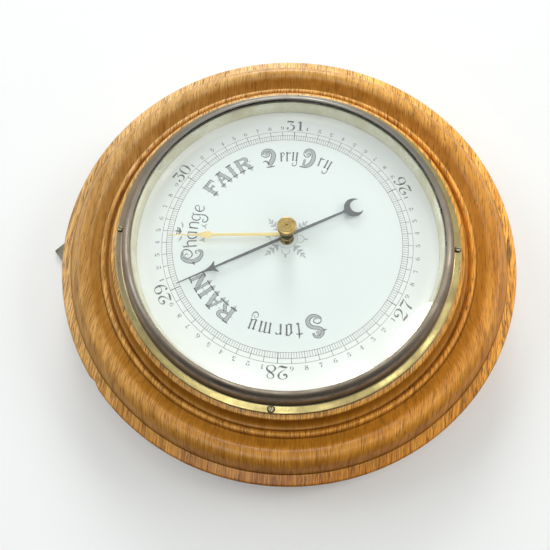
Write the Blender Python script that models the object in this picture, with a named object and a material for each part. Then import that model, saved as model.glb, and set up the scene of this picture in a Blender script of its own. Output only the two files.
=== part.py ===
"""Aneroid wall barometer with an 8-inch ceramic dial in a turned oak case.

Frame: metres, +Z is the dial's outward normal and z = 0 is the flat back.
The dial axis is the Z axis, +Y is the top of the instrument when it hangs
(12 o'clock, 29.5 inches) and +X is 3 o'clock (31 inches).  The scale runs
clockwise at 60 degrees an inch.  The hands stand at 29.02 and 29.43 inches.

All sizes below are in millimetres and are turned into metres by the helpers.
"""

import math

import bmesh
import bpy
from mathutils import Matrix, Vector

MM = 0.001

# ------------------------------------------------------------ driving sizes
CASE_R = 150.0          # widest radius of the oak case
CASE_FACE_Z = 45.7      # flat ring that the bezel flange lies on
BORE_R = 104.5          # recess for the movement drum
FLOOR_Z = 8.0           # thickness of oak left behind the drum
DIAL_Z = 44.0           # printed face of the dial
DIAL_R = 101.3
DIAL_T = 3.0
DIAL_HOLE_R = 4.5
GLASS_R = 100.6
GLASS_Z0, GLASS_Z1 = 54.3, 56.5
BEZEL_Z = 46.0          # underside of the flange
FLANGE_R = 110.9
FLANGE_Z = 47.8
BEZEL_SCREW_R = 108.5
BEZEL_SCREW_ANGLES = {"top": -1.3, "right": 90.6, "bottom": 181.2, "left": -89.2}

DEG_PER_INCH = 60.0
TOP_READING = 29.5
WEATHER_READING = 29.02   # indicating hand
SET_READING = 29.433      # set hand

HAND_Z = 47.3           # mid thickness of the indicating hand
SET_HAND_Z = 50.0       # mid thickness of the set hand
KNOB_TOP_Z = 63.5

CAPSULE_AT = (0.0, -12.0)
CAPSULE_R = 27.0
CAPSULE_Z0, CAPSULE_Z1 = 12.3, 22.3
BASE_Z0, BASE_Z1 = 9.8, 12.0
BASE_R = 52.0
FULCRUM_X, FULCRUM_Z = -20.0, 29.25
LEVER_TIP_X, LEVER_PIN_Z = 38.0, 30.7
ROCKER_X, ROCKER_Z = 44.0, 24.0
CRANK_LENGTH = 9.5
CHAIN_Z = ROCKER_Z + CRANK_LENGTH
CHAIN_DRUM_R = 1.42
UPPER_PLATE_Z0, UPPER_PLATE_Z1 = 36.4, 37.6
ADJUSTER_AT = (-34.0, -12.0)
HANGER_TURN = 1.25      # the hanger sits this many degrees anticlockwise of 12 o'clock
BASE_SCREWS = ((-26.0, 39.0), (20.0, -42.0), (-41.0, -25.0))
PILLARS = ((-34.0, 14.0), (34.0, 14.0), (0.0, 42.0))
CLAMP_SCREWS = ((FULCRUM_X, -23.6), (FULCRUM_X, -0.4))


# ------------------------------------------------------------------ set-up
for old in list(bpy.data.objects):
    bpy.data.objects.remove(old, do_unlink=True)


def make_material(name, rgb, roughness, metallic=0.0, transmission=0.0):
    mat = bpy.data.materials.new(name)
    mat.use_nodes = True
    shader = mat.node_tree.nodes["Principled BSDF"]
    shader.inputs["Base Color"].default_value = (*rgb, 1.0)
    shader.inputs["Roughness"].default_value = roughness
    shader.inputs["Metallic"].default_value = metallic
    shader.inputs["Transmission Weight"].default_value = transmission
    mat.diffuse_color = (*rgb, 1.0)
    return mat


OAK = make_material("golden_oak", (0.46, 0.22, 0.06), 0.38)
BRASS = make_material("aged_brass", (0.42, 0.36, 0.17), 0.34, 1.0)
BRIGHT_BRASS = make_material("bright_brass", (0.72, 0.52, 0.22), 0.28, 1.0)
DULL_BRASS = make_material("tarnished_brass", (0.24, 0.22, 0.15), 0.55, 1.0)
SILVERED = make_material("silvered_brass", (0.50, 0.52, 0.44), 0.35, 1.0)
GLAZE = make_material("white_glaze", (0.84, 0.90, 0.88), 0.12)
GLASS = make_material("clear_glass", (0.95, 1.0, 0.98), 0.02, 0.0, 1.0)
BLUED = make_material("blued_steel", (0.035, 0.04, 0.045), 0.35, 1.0)
STEEL = make_material("steel", (0.45, 0.45, 0.46), 0.35, 1.0)
NICKEL = make_material("german_silver", (0.62, 0.60, 0.55), 0.30, 1.0)
IRON = make_material("cast_iron", (0.10, 0.10, 0.11), 0.60, 1.0)
GILT = make_material("gilt_brass", (0.85, 0.66, 0.22), 0.25, 1.0)


# ----------------------------------------------------------------- helpers
def clock(radius, degrees):
    """The point at this radius and this clockwise angle from 12 o'clock."""
    a = math.radians(degrees)
    return radius * math.sin(a), radius * math.cos(a)


def arc(cx, cz, rx, rz, a0, a1, n):
    """n + 1 points of an elliptical arc, angles in degrees from +r."""
    return [
        (
            cx + rx * math.cos(math.radians(a0 + (a1 - a0) * i / n)),
            cz + rz * math.sin(math.radians(a0 + (a1 - a0) * i / n)),
        )
        for i in range(n + 1)
    ]


def place(obj, mat, parent=None, smooth=32.0):
    if obj.name not in bpy.context.scene.collection.objects:
        bpy.context.scene.collection.objects.link(obj)
    if mat is not None:
        obj.data.materials.append(mat)
    if parent is not None:
        obj.parent = parent
        obj.location = obj.location - parent.location
    if smooth and isinstance(obj.data, bpy.types.Mesh):
        obj.data.shade_smooth()
        obj.data.set_sharp_from_angle(angle=math.radians(smooth))
    return obj


def pivot(name, at):
    """An empty on a joint's axis, which the moving pieces are parented to."""
    empty = bpy.data.objects.new(name, None)
    empty.location = Vector(at) * MM
    empty.empty_display_size = 0.01
    bpy.context.scene.collection.objects.link(empty)
    return empty


def facing_out(bm):
    bmesh.ops.recalc_face_normals(bm, faces=bm.faces)
    if bm.calc_volume(signed=True) < 0.0:
        bmesh.ops.reverse_faces(bm, faces=bm.faces)


def turned(name, profile, steps, mat, at=(0.0, 0.0, 0.0), axis="Z", parent=None,
           phase=0.0):
    """A turned piece: the (radius, height) profile spun about its own axis.

    A profile whose two ends lie on the axis makes a solid; any other profile
    is closed on itself and makes a ring.
    """
    on_axis = profile[0][0] == 0.0 and profile[-1][0] == 0.0
    bm = bmesh.new()
    verts = [bm.verts.new((r * MM, 0.0, z * MM)) for r, z in profile]
    edges = [bm.edges.new(pair) for pair in zip(verts, verts[1:])]
    if not on_axis:
        edges.append(bm.edges.new((verts[-1], verts[0])))
    bmesh.ops.rotate(bm, cent=(0, 0, 0), matrix=Matrix.Rotation(phase, 3, "Z"), verts=verts)
    bmesh.ops.spin(bm, geom=verts + edges, cent=(0, 0, 0), axis=(0, 0, 1),
                   angle=math.tau, steps=steps, use_merge=True)
    bmesh.ops.remove_doubles(bm, verts=bm.verts, dist=1e-6)
    facing_out(bm)
    mesh = bpy.data.meshes.new(name)
    bm.to_mesh(mesh)
    bm.free()
    if axis == "Y":
        mesh.transform(Matrix.Rotation(-math.pi / 2, 4, "X"))
    elif axis == "-Z":
        mesh.transform(Matrix.Rotation(math.pi, 4, "X"))
    obj = bpy.data.objects.new(name, mesh)
    obj.location = Vector(at) * MM
    return place(obj, mat, parent)


def block(name, low, high, mat, parent=None, bevel=0.0):
    """A rectangular bar between two corners, its origin at its centre."""
    low, high = Vector(low) * MM, Vector(high) * MM
    bm = bmesh.new()
    bmesh.ops.create_cube(bm, size=1.0)
    bmesh.ops.scale(bm, vec=high - low, verts=bm.verts)
    mesh = bpy.data.meshes.new(name)
    bm.to_mesh(mesh)
    bm.free()
    obj = bpy.data.objects.new(name, mesh)
    obj.location = (low + high) / 2
    place(obj, mat, parent, smooth=0.0)
    if bevel:
        mod = obj.modifiers.new("Bevel", "BEVEL")
        mod.width = bevel * MM
        mod.segments = 1
    return obj


def plate(name, outlines, low, high, mat, parent=None, upright=None):
    """A sheet cut to closed outlines (the first is the edge, the rest are holes).

    It lies flat between the heights low and high.  With upright="XZ" the
    outlines are (x, z) and low and high are y; with "YZ" they are (y, z) and
    low and high are x.
    """
    curve = bpy.data.curves.new(name, "CURVE")
    curve.dimensions = "2D"
    curve.fill_mode = "BOTH"
    curve.extrude = (high - low) / 2 * MM
    for outline in outlines:
        spline = curve.splines.new("POLY")
        spline.points.add(len(outline) - 1)
        for point, (u, v) in zip(spline.points, outline):
            point.co = (u * MM, v * MM, 0.0, 1.0)
        spline.use_cyclic_u = True
    pattern = bpy.data.objects.new(f"{name}_pattern", curve)
    bpy.context.scene.collection.objects.link(pattern)
    bpy.context.view_layer.update()
    flat = pattern.evaluated_get(bpy.context.evaluated_depsgraph_get())
    bm = bmesh.new()
    bm.from_mesh(flat.to_mesh())
    bmesh.ops.remove_doubles(bm, verts=bm.verts, dist=1e-6)
    facing_out(bm)
    mesh = bpy.data.meshes.new(name)
    bm.to_mesh(mesh)
    bm.free()
    bpy.data.objects.remove(pattern, do_unlink=True)
    obj = bpy.data.objects.new(name, mesh)
    middle = (low + high) / 2 * MM
    if upright == "XZ":
        obj.rotation_euler = (math.pi / 2, 0.0, 0.0)
        obj.location = (0.0, middle, 0.0)
    elif upright == "YZ":
        obj.rotation_euler = (math.pi / 2, 0.0, math.pi / 2)
        obj.location = (middle, 0.0, 0.0)
    else:
        obj.location = (0.0, 0.0, middle)
    return place(obj, mat, parent, smooth=0.0)


def circle(cx, cy, r, n=24, phase=0.0):
    return [
        (cx + r * math.cos(phase + math.tau * i / n), cy + r * math.sin(phase + math.tau * i / n))
        for i in range(n)
    ]


def turn(points, degrees):
    """Points turned clockwise about the dial axis."""
    a = math.radians(-degrees)
    c, s = math.cos(a), math.sin(a)
    return [(x * c - y * s, x * s + y * c) for x, y in points]


def hide(tool):
    tool.hide_render = True
    tool.display_type = "WIRE"
    return tool


def combine(target, tool, operation):
    mod = target.modifiers.new(tool.name, "BOOLEAN")
    mod.operation = operation
    mod.object = hide(tool)


def drill(target, at, radius, z0, z1, steps=16):
    """A round hole through target from z0 to z1."""
    tool = turned(f"drill_{target.name}_{len(target.modifiers)}",
                  [(0.0, z0), (radius, z0), (radius, z1), (0.0, z1)],
                  steps, None, at=(at[0], at[1], 0.0))
    combine(target, tool, "DIFFERENCE")


def drill_y(target, x, z, radius, y0, y1, steps=14):
    tool = turned(f"drill_{target.name}_{len(target.modifiers)}",
                  [(0.0, y0), (radius, y0), (radius, y1), (0.0, y1)],
                  steps, None, at=(x, 0.0, z), axis="Y")
    combine(target, tool, "DIFFERENCE")


def slotted(obj, at, z0, z1, width, length, degrees):
    """A screwdriver slot across the head."""
    tool = block(f"slot_{obj.name}", (-length / 2, -width / 2, z0), (length / 2, width / 2, z1), None)
    tool.location = (at[0] * MM, at[1] * MM, (z0 + z1) / 2 * MM)
    tool.rotation_euler = (0.0, 0.0, math.radians(degrees))
    combine(obj, tool, "DIFFERENCE")


def head_screw(name, at, z_seat, z_tip, r_head, r_shank, mat, slot_degrees,
               head=1.3, parent=None, steps=16):
    """A round-headed slotted screw driven down from the front."""
    profile = [(0.0, z_tip), (r_shank * 0.5, z_tip), (r_shank, z_tip + 1.2),
               (r_shank, z_seat), (r_head, z_seat), (r_head, z_seat + head * 0.45),
               (r_head * 0.8, z_seat + head * 0.85), (r_head * 0.35, z_seat + head),
               (0.0, z_seat + head)]
    obj = turned(name, profile, steps, mat, at=(at[0], at[1], 0.0), parent=parent)
    slotted(obj, at, z_seat + head * 0.45, z_seat + head + 1.0, r_head * 0.30,
            r_head * 2.6, slot_degrees)
    return obj


# --------------------------------------------------------------- the case
# From the bore outwards: flat ring, cove, fillet, bead, ogee, lip, edge, side.
case_profile = (
    [(0.0, FLOOR_Z), (BORE_R, FLOOR_Z), (BORE_R, CASE_FACE_Z - 0.5),
     (BORE_R + 0.5, CASE_FACE_Z), (113.8, CASE_FACE_Z), (114.6, 44.9)]
    + [(118.5 - 3.9 * math.cos(t), 44.9 - 8.5 * math.sin(t)) for t in
       (math.pi * 0.12, math.pi * 0.27, math.pi / 2)]
    + [(119.3, 36.4), (119.9, 35.8)]
    + arc(121.8, 37.4, 1.75, 2.1, 180, 0, 4)
    + [(123.9 + 10.1 * s, 37.9 + 6.7 * (1 - math.cos(math.pi * s)) / 2)
       for s in (0.0, 0.25, 0.5, 0.75)]
    + arc(134.0, 38.2, 9.3, 6.4, 90, 0, 4)
    + [(143.3, 37.4), (148.7, 36.8), (149.7, 36.2), (CASE_R, 35.2),
       (CASE_R, 29.5), (149.2, 28.0), (146.8, 26.4), (145.9, 24.0),
       (144.6, 1.2), (143.4, 0.0), (0.0, 0.0)]
)
case = turned("oak_case", case_profile, 56, OAK)
for side, angle in BEZEL_SCREW_ANGLES.items():
    drill(case, clock(BEZEL_SCREW_R, angle), 1.65, 34.0, CASE_FACE_Z + 4.0, 10)
for at in BASE_SCREWS:
    drill(case, at, 1.85, 2.0, FLOOR_Z + 3.0, 10)
drill(case, ADJUSTER_AT, 6.0, -3.0, FLOOR_Z + 3.0, 20)

# Brass hanging plate: let into the back at 12 o'clock, its pointed end beyond
# the rim, with a keyhole for the wall screw.
HANGER_HALF = 15.0
HANGER_TIP = 172.6
SHOULDER = HANGER_TIP - HANGER_HALF * math.tan(math.radians(42.0))


def hanger_outline(grow):
    w = HANGER_HALF + grow
    return turn([(-w, 113.0 - grow), (w, 113.0 - grow), (w, SHOULDER + grow),
                 (0.6, HANGER_TIP + grow * 1.4), (-0.6, HANGER_TIP + grow * 1.4),
                 (-w, SHOULDER + grow)], -HANGER_TURN)


keyhole = turn(
    [(3.6 * math.cos(a), 152.0 + 3.6 * math.sin(a)) for a in
     [math.radians(125 + 290 * i / 12) for i in range(13)]]
    + [(2.05, 160.0), (1.2, 161.6), (-1.2, 161.6), (-2.05, 160.0)], -HANGER_TURN)
hanger = plate("hanger_plate", [hanger_outline(0.0), keyhole], 0.3, 2.3, DULL_BRASS)
recess = plate("hanger_recess", [hanger_outline(0.4)], -2.0, 2.7, None)
combine(case, recess, "DIFFERENCE")
for side, x in (("left", -9.0), ("right", 9.0)):
    hx, hy = turn([(x, 124.0)], -HANGER_TURN)[0]
    head = [(0.0, 0.35), (3.2, 0.35), (3.2, 0.6), (1.7, 2.1), (1.7, 13.0), (0.4, 15.5), (0.0, 15.5)]
    screw = turned(f"hanger_screw_{side}", head, 16, DULL_BRASS, at=(hx, hy, 0.0))
    slotted(screw, (hx, hy), -1.0, 1.0, 0.9, 9.0, 35.0 if x < 0 else -20.0)
    cone = turned(f"countersink_{side}",
                  [(0.0, -1.0), (3.6, -1.0), (3.6, 0.75), (2.05, 2.3), (2.05, 16.2), (0.0, 16.2)],
                  16, None, at=(hx, hy, 0.0))
    combine(hanger, cone, "DIFFERENCE")
    combine(case, cone, "DIFFERENCE")

# ------------------------------------------------- bezel, glass, sight ring
bezel_profile = [
    (FLANGE_R, BEZEL_Z), (FLANGE_R, FLANGE_Z - 0.5),
    (FLANGE_R - 0.5, FLANGE_Z), (106.6, FLANGE_Z), (106.1, 48.6), (105.7, 51.0),
    (104.3, 54.4), (102.1, 56.7), (100.1, 57.5), (98.9, 57.2), (98.9, 56.8),
    (101.0, 56.8), (101.1, 54.2), (104.3, 49.0), (104.3, BEZEL_Z),
]
bezel = turned("bezel", bezel_profile, 56, BRASS)
for side, angle in BEZEL_SCREW_ANGLES.items():
    at = clock(BEZEL_SCREW_R, angle)
    drill(bezel, at, 1.65, 44.0, 50.0, 10)
    head_screw(f"bezel_screw_{side}", at, FLANGE_Z + 0.3, 35.0, 1.9, 1.2, BRASS,
               {"top": 68.0, "right": 15.0, "bottom": 80.0, "left": -5.0}[side],
               head=1.2, steps=14)

turned("sight_ring", [(98.1, 44.3), (98.6, 54.0), (100.3, 54.0), (101.2, 44.3)], 56, SILVERED)
turned("glass", [(3.0, GLASS_Z0), (GLASS_R - 0.3, GLASS_Z0), (GLASS_R, GLASS_Z0 + 0.3),
                 (GLASS_R, GLASS_Z1 - 0.3), (GLASS_R - 0.3, GLASS_Z1), (3.0, GLASS_Z1)],
       56, GLASS)
turned("dial", [(DIAL_HOLE_R, DIAL_Z - DIAL_T), (DIAL_R - 0.8, DIAL_Z - DIAL_T),
                (DIAL_R, DIAL_Z - DIAL_T + 0.8), (DIAL_R, DIAL_Z - 0.5),
                (DIAL_R - 0.5, DIAL_Z), (DIAL_HOLE_R, DIAL_Z)], 56, GLAZE)

# ------------------------------------------- drum, dial tray and base plate
drum = turned("movement_drum",
              [(0.0, FLOOR_Z + 0.3), (103.2, FLOOR_Z + 0.3), (103.8, FLOOR_Z + 0.9),
               (103.8, 45.4), (103.0, 45.4), (103.0, 9.5), (0.0, 9.5)], 56, DULL_BRASS)
for at in BASE_SCREWS:
    drill(drum, at, 1.95, 6.0, 11.0, 10)
drill(drum, ADJUSTER_AT, 3.4, 6.0, 11.0, 16)

TRAY_PILLAR_R = 90.0
turned("dial_tray", [(7.0, 39.2), (98.6, 39.2), (98.6, 40.7), (7.0, 40.7)], 48, BRASS)
for i, angle in enumerate((30.0, 150.0, 270.0), 1):
    turned(f"dial_pillar_{i}",
           [(0.0, 9.8), (3.6, 9.8), (3.6, 12.0), (2.3, 13.5), (2.3, 35.5), (3.4, 36.5),
            (3.4, 38.9), (0.0, 38.9)], 12, BRASS, at=(*clock(TRAY_PILLAR_R, angle), 0.0))

base = plate("base_plate",
             [circle(0, 0, BASE_R, 48)] + [circle(*at, 1.9, 10) for at in BASE_SCREWS]
             + [circle(*ADJUSTER_AT, 2.4, 12)], BASE_Z0, BASE_Z1, BRASS)
for i, at in enumerate(BASE_SCREWS, 1):
    head_screw(f"base_screw_{i}", at, BASE_Z1 + 0.3, 2.4, 3.0, 1.5, STEEL, 40.0 * i,
               head=1.6, steps=12)

# --------------------------------------------------------- vacuum capsule
# A corrugated box of german silver, solid here, with its post above it.
waves = 3
capsule_profile = [(0.0, CAPSULE_Z0), (4.0, CAPSULE_Z0), (5.0, CAPSULE_Z0 + 1.4)]
for i in range(waves * 2):
    r = 6.5 + (CAPSULE_R - 9.0) * i / (waves * 2 - 1)
    capsule_profile.append((r, CAPSULE_Z0 + (1.2 if i % 2 else 2.3)))
capsule_profile += [(CAPSULE_R, 15.6), (CAPSULE_R, 19.0)]
for i in reversed(range(waves * 2)):
    r = 6.5 + (CAPSULE_R - 9.0) * i / (waves * 2 - 1)
    capsule_profile.append((r, CAPSULE_Z1 - (1.2 if i % 2 else 2.3)))
capsule_profile += [(5.0, CAPSULE_Z1 - 1.4), (4.0, CAPSULE_Z1), (0.0, CAPSULE_Z1)]
turned("vacuum_capsule", capsule_profile, 28, NICKEL, at=(*CAPSULE_AT, 0.0))

post_pivot = pivot("capsule_motion", (*CAPSULE_AT, 22.6))
turned("capsule_post", [(0.0, 22.6), (3.2, 22.6), (3.2, 24.0), (1.8, 25.0), (1.8, 27.2),
                        (0.9, 28.3), (0.0, 28.3)], 14, STEEL, at=(*CAPSULE_AT, 0.0),
       parent=post_pivot)

# ------------------------------------------------ bridge, spring and lever
bridge = plate("bridge",
               [[(-47.0, 12.3), (-41.5, 12.3), (-41.5, 21.0), (-38.0, 24.5), (14.0, 24.5),
                 (17.5, 21.0), (17.5, 12.3), (23.0, 12.3), (23.0, 25.0), (20.0, 28.0),
                 (-44.0, 28.0), (-47.0, 25.0)]], -26.0, -14.0, IRON, upright="YZ")
tail = block("bridge_tail", (-39.0, -17.0, 24.5), (-25.0, -7.0, 28.0), None)
combine(bridge, tail, "UNION")
for at in CLAMP_SCREWS:
    drill(bridge, at, 1.5, 25.6, 30.0, 10)
clamp = block("spring_clamp", (-25.0, -26.2, 30.4), (-15.0, 2.2, 32.4), BRASS)
for at in CLAMP_SCREWS:
    drill(clamp, at, 1.5, 28.0, 35.0, 10)
for i, at in enumerate(CLAMP_SCREWS, 1):
    head_screw(f"clamp_screw_{i}", at, 32.7, 26.0, 2.4, 1.15, STEEL, 25.0 * i, head=1.4,
               steps=12)

lever_pivot = pivot("lever_hinge", (FULCRUM_X, -12.0, FULCRUM_Z))
block("main_spring", (-24.0, -20.0, 28.7), (9.0, -4.0, 29.8), BLUED, parent=lever_pivot)
lever = block("main_lever", (2.0, -13.2, 30.1), (39.4, -11.0, 31.3), STEEL,
              parent=lever_pivot)
lever_pin = turned("lever_pin", [(0.0, -11.4), (0.55, -11.4), (0.55, -8.9), (0.0, -8.9)], 10,
                   None, at=(LEVER_TIP_X, 0.0, LEVER_PIN_Z), axis="Y")
combine(lever, lever_pin, "UNION")

# The connecting link hangs on the lever's pin and lifts the rocking arm.
link_pivot = pivot("link_motion", (LEVER_TIP_X, -10.0, LEVER_PIN_Z))
LINK_X, LINK_HALF = LEVER_TIP_X + 0.3, 2.2
link_outline = (
    [(LINK_X + LINK_HALF * math.cos(math.pi * i / 8), LEVER_PIN_Z + LINK_HALF * math.sin(math.pi * i / 8))
     for i in range(9)]
    + [(LINK_X - LINK_HALF * math.cos(math.pi * i / 8), ROCKER_Z - LINK_HALF * math.sin(math.pi * i / 8))
       for i in range(9)]
)
arm_slot = (
    [(LEVER_TIP_X + 1.0 + 0.85 * math.cos(a), ROCKER_Z + 0.85 * math.sin(a)) for a in
     [-math.pi / 2 + math.pi * i / 5 for i in range(6)]]
    + [(LEVER_TIP_X - 0.3 + 0.85 * math.cos(a), ROCKER_Z + 0.85 * math.sin(a)) for a in
       [math.pi / 2 + math.pi * i / 5 for i in range(6)]]
)
plate("connecting_link", [link_outline, circle(LEVER_TIP_X, LEVER_PIN_Z, 0.95, 10), arm_slot],
      -10.4, -9.6, BRASS, parent=link_pivot, upright="XZ")

# ------------------------------------------------------- rocking arbor
rocker_pivot = pivot("rocker_hinge", (ROCKER_X, -5.0, ROCKER_Z))
rocker = turned("rocking_arbor",
                [(0.0, -20.6), (0.8, -20.6), (0.8, -17.6), (1.5, -17.6), (1.5, 6.4),
                 (0.8, 6.4), (0.8, 9.4), (0.0, 9.4)], 14, STEEL,
                at=(ROCKER_X, 0.0, ROCKER_Z), axis="Y", parent=rocker_pivot)
arm = block("rocker_arm", (37.2, -9.0, 23.35), (ROCKER_X, -7.6, 24.65), None)
arm_pin = turned("arm_pin", [(0.0, -10.9), (0.5, -10.9), (0.5, -8.6), (0.0, -8.6)], 10, None,
                 at=(LEVER_TIP_X, 0.0, ROCKER_Z), axis="Y")
crank = block("rocker_crank", (43.35, -2.9, ROCKER_Z), (44.65, -1.1, CHAIN_Z + 0.7), None)
for piece in (arm, arm_pin, crank):
    combine(rocker, piece, "UNION")
for name, y0, y1 in (("rocker_bearing_rear", -21.0, -18.1), ("rocker_bearing_front", 6.9, 9.8)):
    bearing = plate(name, [
        [(40.5, 12.3), (47.0, 12.3), (46.6, 14.0), (46.6, 24.8)]
        + [(ROCKER_X + 2.6 * math.cos(a), 25.0 + 2.6 * math.sin(a)) for a in
           [math.pi * (1 + i * 2) / 10 for i in range(5)]]
        + [(41.4, 24.8), (41.4, 14.0)],
        circle(ROCKER_X, ROCKER_Z, 1.15, 12)], y0, y1, BRASS, upright="XZ")

# Fusee chain: the run between the crank and the drum on the hand arbor.
chain_pivot = pivot("chain_motion", (ROCKER_X, -2.0, CHAIN_Z))
pitch = 2.8
links = 15
upper, lower = [], []
for i in range(links):
    x = 0.4 + i * pitch
    upper += [(x + 0.25, CHAIN_Z + 0.34), (x + pitch - 0.45, CHAIN_Z + 0.34), (x + pitch - 0.1, CHAIN_Z + 0.18)]
    lower += [(x + pitch - 0.1, CHAIN_Z - 0.18), (x + pitch - 0.45, CHAIN_Z - 0.34), (x + 0.25, CHAIN_Z - 0.34)]
lower_run = []
for i in reversed(range(links)):
    lower_run += lower[3 * i:3 * i + 3]
plate("fusee_chain", [list(reversed(upper)) + list(reversed(lower_run))], -2.25, -1.75, STEEL,
      parent=chain_pivot, upright="XZ")

# -------------------------------------------- upper plate, cock and pillars
upper_outline = [(-39.0, 10.0), (-39.0, 17.5), (-5.0, 46.5), (5.0, 46.5), (39.0, 17.5),
                 (39.0, 10.0), (9.0, -3.0), (5.0, -6.0), (-5.0, -6.0), (-9.0, -3.0)]
plate("upper_plate",
      [upper_outline, circle(0, 0, 1.4, 14), circle(0, 10.75, 1.3, 10)]
      + [circle(x, y, 1.6, 12) for x, y in PILLARS],
      UPPER_PLATE_Z0, UPPER_PLATE_Z1, BRASS)
for i, (x, y) in enumerate(PILLARS, 1):
    turned(f"movement_pillar_{i}",
           [(0.0, 12.3), (3.2, 12.3), (3.2, 14.0), (2.2, 15.2), (2.2, 33.6), (3.0, 34.6),
            (3.0, 36.1), (1.25, 36.1), (1.25, 38.1), (0.8, 38.5), (0.0, 38.5)], 12, BRASS,
           at=(x, y, 0.0))
cock = plate("arbor_cock",
             [[(-2.8, 31.0), (12.0, 31.0), (12.0, 36.1), (9.5, 36.1), (9.5, 32.2), (-2.8, 32.2)]],
             -4.5, 4.5, BRASS, upright="YZ")
drill(cock, (0.0, 0.0), 1.0, 29.0, 34.0, 12)
drill(cock, (0.0, 10.75), 1.0, 33.0, 38.0, 10)
head_screw("cock_screw", (0.0, 10.75), UPPER_PLATE_Z1 + 0.2, 33.4, 2.0, 0.7, STEEL, 70.0,
           head=0.9, steps=12)

# ----------------------------------------------------- hand arbor and hand
hand_pivot = pivot("hand_hinge", (0.0, 0.0, HAND_Z))
turned("hand_arbor",
       [(0.0, 30.5), (0.6, 30.5), (0.6, 32.3), (2.4, 32.45), (2.4, 32.8), (CHAIN_DRUM_R, 32.8),
        (CHAIN_DRUM_R, 34.2), (2.4, 34.2), (2.4, 34.55), (1.0, 34.7), (1.0, 47.6),
        (0.7, 47.9), (0.0, 47.9)], 14, STEEL, parent=hand_pivot)
turned("hairspring_collet", [(1.3, 35.05), (2.4, 35.05), (2.4, 36.0), (1.3, 36.0)], 12, BRASS,
       parent=hand_pivot)
turned("hand_collet", [(1.3, 44.9), (2.4, 44.9), (2.9, 45.6), (2.9, 46.7), (1.3, 46.7)], 16,
       BLUED, parent=hand_pivot)

HAND_ANGLE = (WEATHER_READING - TOP_READING) * DEG_PER_INCH
SET_ANGLE = (SET_READING - TOP_READING) * DEG_PER_INCH


def mirrored(side):
    """A closed outline from the right-hand side's (half width, radius) points."""
    return [(w, r) for w, r in side] + [(-w, r) for w, r in reversed(side) if w > 0]


# Indicating hand: tapered shaft, barbed arrow, and a crescent counterpoise
# whose horns open outwards.
HORN_R, HORN_AT = 6.5, -48.6      # outer circle of the crescent
BITE_R, BITE_AT = 4.8, -51.2      # inner circle of the crescent
# Angle of the point where the two circles cross, seen from each centre.
gap = HORN_AT - BITE_AT
cross_y = (HORN_R ** 2 - BITE_R ** 2 + gap ** 2) / (2 * gap)
horn_angle = math.acos(cross_y / HORN_R)
bite_angle = math.acos((cross_y - gap) / BITE_R)
hand_side = [(0.22, 76.4), (0.45, 60.0), (0.62, 56.5), (1.15, 54.2), (2.1, 51.9), (4.15, 48.9),
             (2.0, 49.9), (0.55, 50.3), (0.85, 28.0), (0.9, 6.0)]
hub = [(3.6 * math.sin(a), 3.6 * math.cos(a)) for a in
       [math.radians(15 + 150 * i / 8) for i in range(9)]]
tail_side = [(0.95, -6.0), (0.85, -22.0), (0.62, -40.6)]
horn = [(HORN_R * math.sin(a), HORN_AT + HORN_R * math.cos(a)) for a in
        [0.26 + (math.pi - horn_angle - 0.26) * i / 9 for i in range(10)]]
bite = [(BITE_R * math.sin(a), BITE_AT + BITE_R * math.cos(a)) for a in
        [(math.pi - bite_angle) * (1 - i / 8) for i in range(1, 9)]]
right = hand_side + hub + tail_side + horn + bite
right = [(w, r) for w, r in right]
outline = right + [(-w, r) for w, r in reversed(right) if w > 1e-6]
plate("indicating_hand", [turn(outline, HAND_ANGLE), circle(0, 0, 1.3, 12)],
      HAND_Z - 0.3, HAND_Z + 0.3, BLUED, parent=hand_pivot)

# Hairspring: a flat spiral ribbon from the collet to its stud.
TURNS, STEPS_PER_TURN = 3, 18
bm = bmesh.new()
previous = None
count = TURNS * STEPS_PER_TURN
for i in range(count + 1):
    a = math.pi + math.tau * i / STEPS_PER_TURN
    r = 3.0 + 5.4 * i / count
    ring = [bm.verts.new(((r + dr) * math.cos(a) * MM, (r + dr) * math.sin(a) * MM, z * MM))
            for dr, z in ((-0.12, 35.15), (0.12, 35.15), (0.12, 35.85), (-0.12, 35.85))]
    if previous:
        for k in range(4):
            bm.faces.new((previous[k], previous[(k + 1) % 4], ring[(k + 1) % 4], ring[k]))
    else:
        bm.faces.new(ring)
    previous = ring
bm.faces.new(previous)
facing_out(bm)
spring_mesh = bpy.data.meshes.new("hairspring")
bm.to_mesh(spring_mesh)
bm.free()
place(bpy.data.objects.new("hairspring", spring_mesh), BLUED)
block("hairspring_stud", (-10.2, -1.1, 34.8), (-8.9, 1.1, 36.1), BRASS)

# -------------------------------------------- set hand, spindle and knob
set_pivot = pivot("set_hinge", (0.0, 0.0, SET_HAND_Z))
turned("set_spindle",
       [(0.0, 48.35), (2.2, 48.35), (2.4, 48.6), (2.4, 50.7), (3.6, 50.7), (3.7, 51.6),
        (4.1, 51.8), (4.2, 52.7), (4.5, 52.9), (4.5, 53.3), (2.2, 53.3), (2.2, 61.0),
        (0.0, 61.0)], 20, DULL_BRASS, parent=set_pivot)
turned("glass_washer_lower", [(2.6, 53.6), (4.7, 53.6), (4.7, 54.0), (2.6, 54.0)], 16,
       DULL_BRASS)
turned("glass_washer_upper", [(2.6, 56.8), (5.2, 56.8), (5.0, 57.5), (2.6, 57.5)], 16,
       DULL_BRASS)
turned("set_hand_nut", [(2.75, 48.5), (3.7, 48.5), (3.7, 49.35), (2.75, 49.35)], 12,
       DULL_BRASS, parent=set_pivot)

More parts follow.
